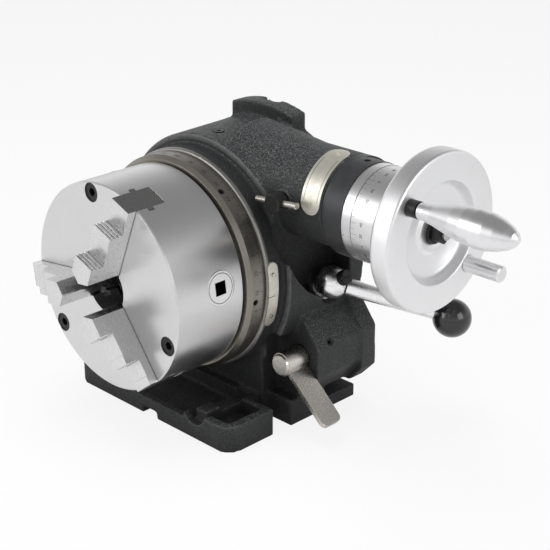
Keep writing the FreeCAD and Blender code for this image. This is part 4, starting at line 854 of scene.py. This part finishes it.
@dataclass
class CastHousing(Assembly):
    """The casting, with the rounded edges and blended corners of a foundry pattern."""

    blocks: tuple[str, ...] = ("body_casting", "casting_foot", "casting_rear", "casting_sides",
                               "worm_boss")
    weld: float = 0.001 * MM
    voxel: float = 1.25 * MM
    rounds: int = 4
    strength: float = 0.5
    share: float = 0.42

    def welded(self, name: str) -> bpy.types.Mesh:
        """A closed copy of a node's mesh.

        Args:
            name: The node.

        Returns:
            The copy, with its doubled corners joined.
        """
        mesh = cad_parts[name].data.copy()
        closed = bmesh.new()
        closed.from_mesh(mesh)
        bmesh.ops.remove_doubles(closed, verts=closed.verts, dist=self.weld)
        closed.to_mesh(mesh)
        closed.free()
        return mesh

    def build(self) -> Iterable[bpy.types.Object]:
        """Make the rounded casting.

        Returns:
            The casting.
        """
        paint = CastPaint()
        piece = self.add("casting", self.welded(self.blocks[0]), "housing", "cast_iron", paint)
        helpers = []
        for block in self.blocks[1:]:
            helper = bpy.data.objects.new(block + "_block", self.welded(block))
            bpy.context.scene.collection.objects.link(helper)
            helpers.append(helper)
            union = piece.modifiers.new(block, "BOOLEAN")
            union.operation = "UNION"
            union.solver = "EXACT"
            union.object = helper
        remesh = piece.modifiers.new("skin", "REMESH")
        remesh.mode = "VOXEL"
        remesh.voxel_size = self.voxel
        smooth = piece.modifiers.new("blend", "SMOOTH")
        smooth.factor = self.strength
        smooth.iterations = self.rounds
        thin = piece.modifiers.new("thin", "DECIMATE")
        thin.ratio = self.share
        bpy.context.view_layer.update()
        seen = piece.evaluated_get(bpy.context.evaluated_depsgraph_get())
        skin = bpy.data.meshes.new_from_object(seen)
        piece.modifiers.clear()
        for helper in helpers:
            bpy.data.objects.remove(helper)
        piece.data = skin
        skin.materials.clear()
        skin.materials.append(paint.material())
        skin.polygons.foreach_set("use_smooth", [True] * len(skin.polygons))
        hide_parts(*self.blocks)
        return [piece]


@dataclass
class SmoothWheel(Assembly):
    """The handwheel's casting, with the blended dish that turning and polishing give it."""

    # Each corner: place along the worm, distance from it and corner radius, in millimetres.
    corners: Sequence[Point] = (
        (178.0, 6.02, 0.0), (178.0, 16.0, 0.4), (190.0, 17.2, 2.5), (190.0, 43.0, 3.0),
        (189.0, 49.0, 3.0), (189.0, 57.9, 4.2), (206.0, 57.9, 2.6), (206.0, 37.2, 1.6),
        (197.2, 34.2, 5.5), (197.0, 17.4, 1.2), (199.0, 15.4, 0.8), (199.0, 6.02, 0.0))
    steps: int = 6
    around: int = 160
    side_share: float = 0.45

    def outline(self) -> list[Span]:
        """The wheel's section with its corners rounded.

        Returns:
            Places along the worm and distances from it.
        """
        points: list[Span] = []
        count = len(self.corners)
        for index, (along, out, radius) in enumerate(self.corners):
            corner = Vector((along, out))
            if not radius:
                points.append(tuple(corner))
                continue
            before = Vector(self.corners[index - 1][:2]) - corner
            after = Vector(self.corners[(index + 1) % count][:2]) - corner
            half = before.angle(after) / 2
            reach = min(radius / math.tan(half), self.side_share * before.length,
                        self.side_share * after.length)
            start = corner + before.normalized() * reach
            end = corner + after.normalized() * reach
            for step in range(self.steps + 1):
                part = step / self.steps
                first = start.lerp(corner, part)
                second = corner.lerp(end, part)
                points.append(tuple(first.lerp(second, part)))
        return points

    def build(self) -> Iterable[bpy.types.Object]:
        """Make the wheel.

        Returns:
            The wheel.
        """
        outline = self.outline()
        _, mid_y, mid_z = CENTRES[Axis.WORM]
        points = []
        for turn in range(self.around):
            angle = 2 * math.pi * turn / self.around
            points += [(along * MM, mid_y + out * MM * math.cos(angle),
                        mid_z + out * MM * math.sin(angle)) for along, out in outline]
        count = len(outline)
        faces = []
        for turn in range(self.around):
            here, there = turn * count, (turn + 1) % self.around * count
            faces += [(here + i, here + (i + 1) % count, there + (i + 1) % count, there + i)
                      for i in range(count)]
        mesh = bpy.data.meshes.new("wheel")
        mesh.from_pydata(points, [], faces)
        mesh.polygons.foreach_set("use_smooth", [True] * len(faces))
        piece = self.add("wheel", mesh, "worm_group", "wheel_alloy", WHEEL_ALLOY)
        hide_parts("handwheel")
        return [piece]


@dataclass
class Engraving(Assembly):
    """Numbers wrapped round a shaft's graduated ring, as one thin piece."""

    name: str
    axis: Axis
    body: str
    slot_name: str
    radius: float
    place: float
    labels: Sequence[tuple[float, str]]
    height: float
    lift: float = 0.04 * MM
    fineness: ClassVar[int] = 3

    @staticmethod
    def flat_text(text: str) -> bpy.types.Mesh:
        """The outline mesh of a short text, one unit high.

        Args:
            text: What it says.

        Returns:
            A flat mesh.
        """
        curve = bpy.data.curves.new("figure", "FONT")
        curve.body = text
        curve.align_x = "CENTER"
        curve.align_y = "CENTER"
        curve.resolution_u = Engraving.fineness
        carrier = bpy.data.objects.new("figure", curve)
        bpy.context.scene.collection.objects.link(carrier)
        bpy.context.view_layer.update()
        seen = carrier.evaluated_get(bpy.context.evaluated_depsgraph_get())
        mesh = bpy.data.meshes.new_from_object(seen)
        bpy.data.objects.remove(carrier)
        bpy.data.curves.remove(curve)
        return mesh

    def wrap(self, across: float, up: float, angle: float) -> Point:
        """A flat place carried to the ring.

        Args:
            across: The way along the text, in metres.
            up: The way up the text, in metres.
            angle: The text's angle about the shaft, in radians.

        Returns:
            The place in the part's frame.
        """
        _, mid_y, mid_z = CENTRES[self.axis]
        reach = self.radius + self.lift
        if self.axis is Axis.SPINDLE:
            turn = angle + across / self.radius
            return (reach * math.cos(turn), self.place - up, mid_z + reach * math.sin(turn))
        turn = angle - across / self.radius
        return (self.place - up, mid_y + reach * math.cos(turn), mid_z + reach * math.sin(turn))

    def build(self) -> Iterable[bpy.types.Object]:
        """Make the numbers.

        Returns:
            One piece with all of them.
        """
        points: list[Point] = []
        faces: list[list[int]] = []
        for degrees, text in self.labels:
            flat = self.flat_text(text)
            first = len(points)
            points += [self.wrap(v.co.x * self.height, v.co.y * self.height,
                                 math.radians(degrees)) for v in flat.vertices]
            faces += [[first + i for i in face.vertices] for face in flat.polygons]
            bpy.data.meshes.remove(flat)
        mesh = bpy.data.meshes.new(self.name)
        mesh.from_pydata(points, [], faces)
        mesh.update()
        return [self.add(self.name, mesh, self.body, self.slot_name, MarkInk())]


def engravings() -> tuple[Engraving, ...]:
    """The numbers of the index ring, the dial and the vernier.

    Returns:
        One engraving for each.
    """
    ring = [(10.0 * step - 10.0 + RING_TURN, str(10 * step)) for step in range(36)]
    minutes = ("", "20", "40")
    thirds = len(minutes)
    count = DIAL_DEGREES * thirds
    dial = [(-360 / count * step, minutes[step % thirds] or str(step // thirds))
            for step in range(count)]
    vernier = [(VERNIER_ANGLE + turn, text) for turn, text in ((0, "0"), (30, "5"), (-30, "5"))]
    return (Engraving("ring_numbers", Axis.SPINDLE, "spindle_group", "black_oxide", RING_RADIUS,
                      -20.9 * MM, ring, 4.4 * MM),
            Engraving("dial_numbers", Axis.WORM, "worm_group", "black_oxide", DIAL_RADIUS,
                      163.2 * MM, dial, 3.2 * MM),
            Engraving("vernier_numbers", Axis.WORM, "sleeve_group", "black_oxide", VERNIER_RADIUS,
                      146.9 * MM, vernier, 2.4 * MM))


# ---------------------------------------------------------------------------- studio
@dataclass(frozen=True)
class Lamp:
    """A soft square lamp."""

    name: str
    place: Point
    size: float
    power: float
    mirrored: bool = True

    def hang(self, toward: Point) -> None:
        """Hang the lamp.

        Args:
            toward: What it points at.
        """
        light = bpy.data.lights.new(self.name, "AREA")
        light.shape = "RECTANGLE"
        light.size = self.size
        light.size_y = self.size
        light.energy = self.power
        lamp = bpy.data.objects.new(self.name, light)
        lamp.location = self.place
        lamp.visible_glossy = self.mirrored
        way = Vector(toward) - Vector(self.place)
        lamp.rotation_euler = way.to_track_quat("-Z", "Y").to_euler()
        bpy.context.scene.collection.objects.link(lamp)


@dataclass
class Studio:
    """The floor, the lamps, the surroundings and the camera."""

    middle: Point = (0.05, 0.0, 0.12)
    lamps: tuple[Lamp, ...] = (
        Lamp("front_lamp", (-0.55, -1.25, 0.75), 0.8, 6.0),
        Lamp("side_lamp", (1.45, 0.15, 0.75), 0.8, 5.0),
        Lamp("top_lamp", (0.0, -0.1, 1.5), 1.0, 15.0, mirrored=False))
    floor_size: float = 12.0
    floor_drop: float = 0.05 * MM
    floor_paint: float = 0.82
    floor_glow: float = 0.86
    floor_mirrored: float = 0.35
    room_light: float = 0.34
    room_fall: float = 0.72
    camera_place: Point = (739.6 * MM, -662.0 * MM, 517.7 * MM)
    camera_down: float = 22.7
    camera_round: float = 44.8
    lens: float = 89.57
    sensor: float = 36.0

    def floor(self) -> None:
        """Lay the pale floor, which keeps the object's soft shadow."""
        mesh = bpy.data.meshes.new("floor")
        half = self.floor_size / 2
        mesh.from_pydata([(-half, -half, 0), (half, -half, 0), (half, half, 0),
                          (-half, half, 0)], [], [(0, 1, 2, 3)])
        floor = bpy.data.objects.new("floor", mesh)
        floor.location.z = -self.floor_drop
        bpy.context.scene.collection.objects.link(floor)
        made = bpy.data.materials.new("floor")
        made.use_nodes = True
        graph = Graph(made.node_tree)
        paint = (self.floor_paint,) * 3 + (1.0,)
        matt = graph.make("ShaderNodeBsdfDiffuse", {}, {"Color": paint})
        white = graph.make("ShaderNodeEmission", {}, {"Color": (1.0, 1.0, 1.0, 1.0)})
        share = (graph.seen_directly() * self.floor_glow
                 + graph.ray("Glossy") * self.floor_mirrored)
        graph.make_output(graph.make("ShaderNodeMixShader", {}, {0: share, 1: matt, 2: white}))
        mesh.materials.append(made)

    def surroundings(self) -> None:
        """A white room for what is seen and mirrored, and a soft even light."""
        world = bpy.data.worlds.new("room")
        bpy.context.scene.world = world
        world.use_nodes = True
        graph = Graph(world.node_tree)
        seen = graph.seen_directly()
        glossy = graph.ray("Glossy")
        way = graph.make("ShaderNodeTexCoord", {}, {}, "Generated")
        height = graph.make("ShaderNodeSeparateXYZ", {}, {0: way}, "Z")
        mirrored = 1.0 - self.room_fall * height.eased(0.12, 0.8)
        level = seen + (1 - seen) * (glossy * mirrored + (1 - glossy) * self.room_light)
        shown = graph.make("ShaderNodeBackground", {},
                           {"Color": (1.0, 1.0, 1.0, 1.0), "Strength": level})
        graph.make_output(shown, "ShaderNodeOutputWorld")

    def camera(self) -> None:
        """Set up the camera."""
        lens = bpy.data.cameras.new("camera")
        lens.lens = self.lens
        lens.sensor_width = self.sensor
        camera = bpy.data.objects.new("camera", lens)
        camera.location = self.camera_place
        camera.rotation_euler = Euler((math.radians(90 - self.camera_down), 0.0,
                                       math.radians(self.camera_round)))
        bpy.context.scene.collection.objects.link(camera)
        bpy.context.scene.camera = camera
        bpy.context.scene.view_settings.view_transform = "Standard"

    def build(self) -> None:
        """Set the whole studio."""
        self.floor()
        self.surroundings()
        for lamp in self.lamps:
            lamp.hang(self.middle)
        self.camera()


def dress_nodes() -> None:
    """Give every carried-over node its finish."""
    for finish, names in NODE_FINISHES.items():
        for name in names:
            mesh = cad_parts[name].data
            mesh.materials.clear()
            mesh.materials.append(finish.material())


def report(pieces: Iterable[bpy.types.Object]) -> None:
    """Log each piece as it is made."""
    for piece in pieces:
        LOG.info("%s: %d faces", piece.name, len(piece.data.polygons))


def main() -> None:
    """Set the studio, dress the nodes and build the pieces in order."""
    logging.basicConfig(level=logging.INFO, format="%(name)s %(message)s")
    Studio().build()
    dress_nodes()
    for assembly in (CastHousing(), SmoothWheel(), *engravings()):
        report(assembly.build())


if __name__ == "__main__":
    main()
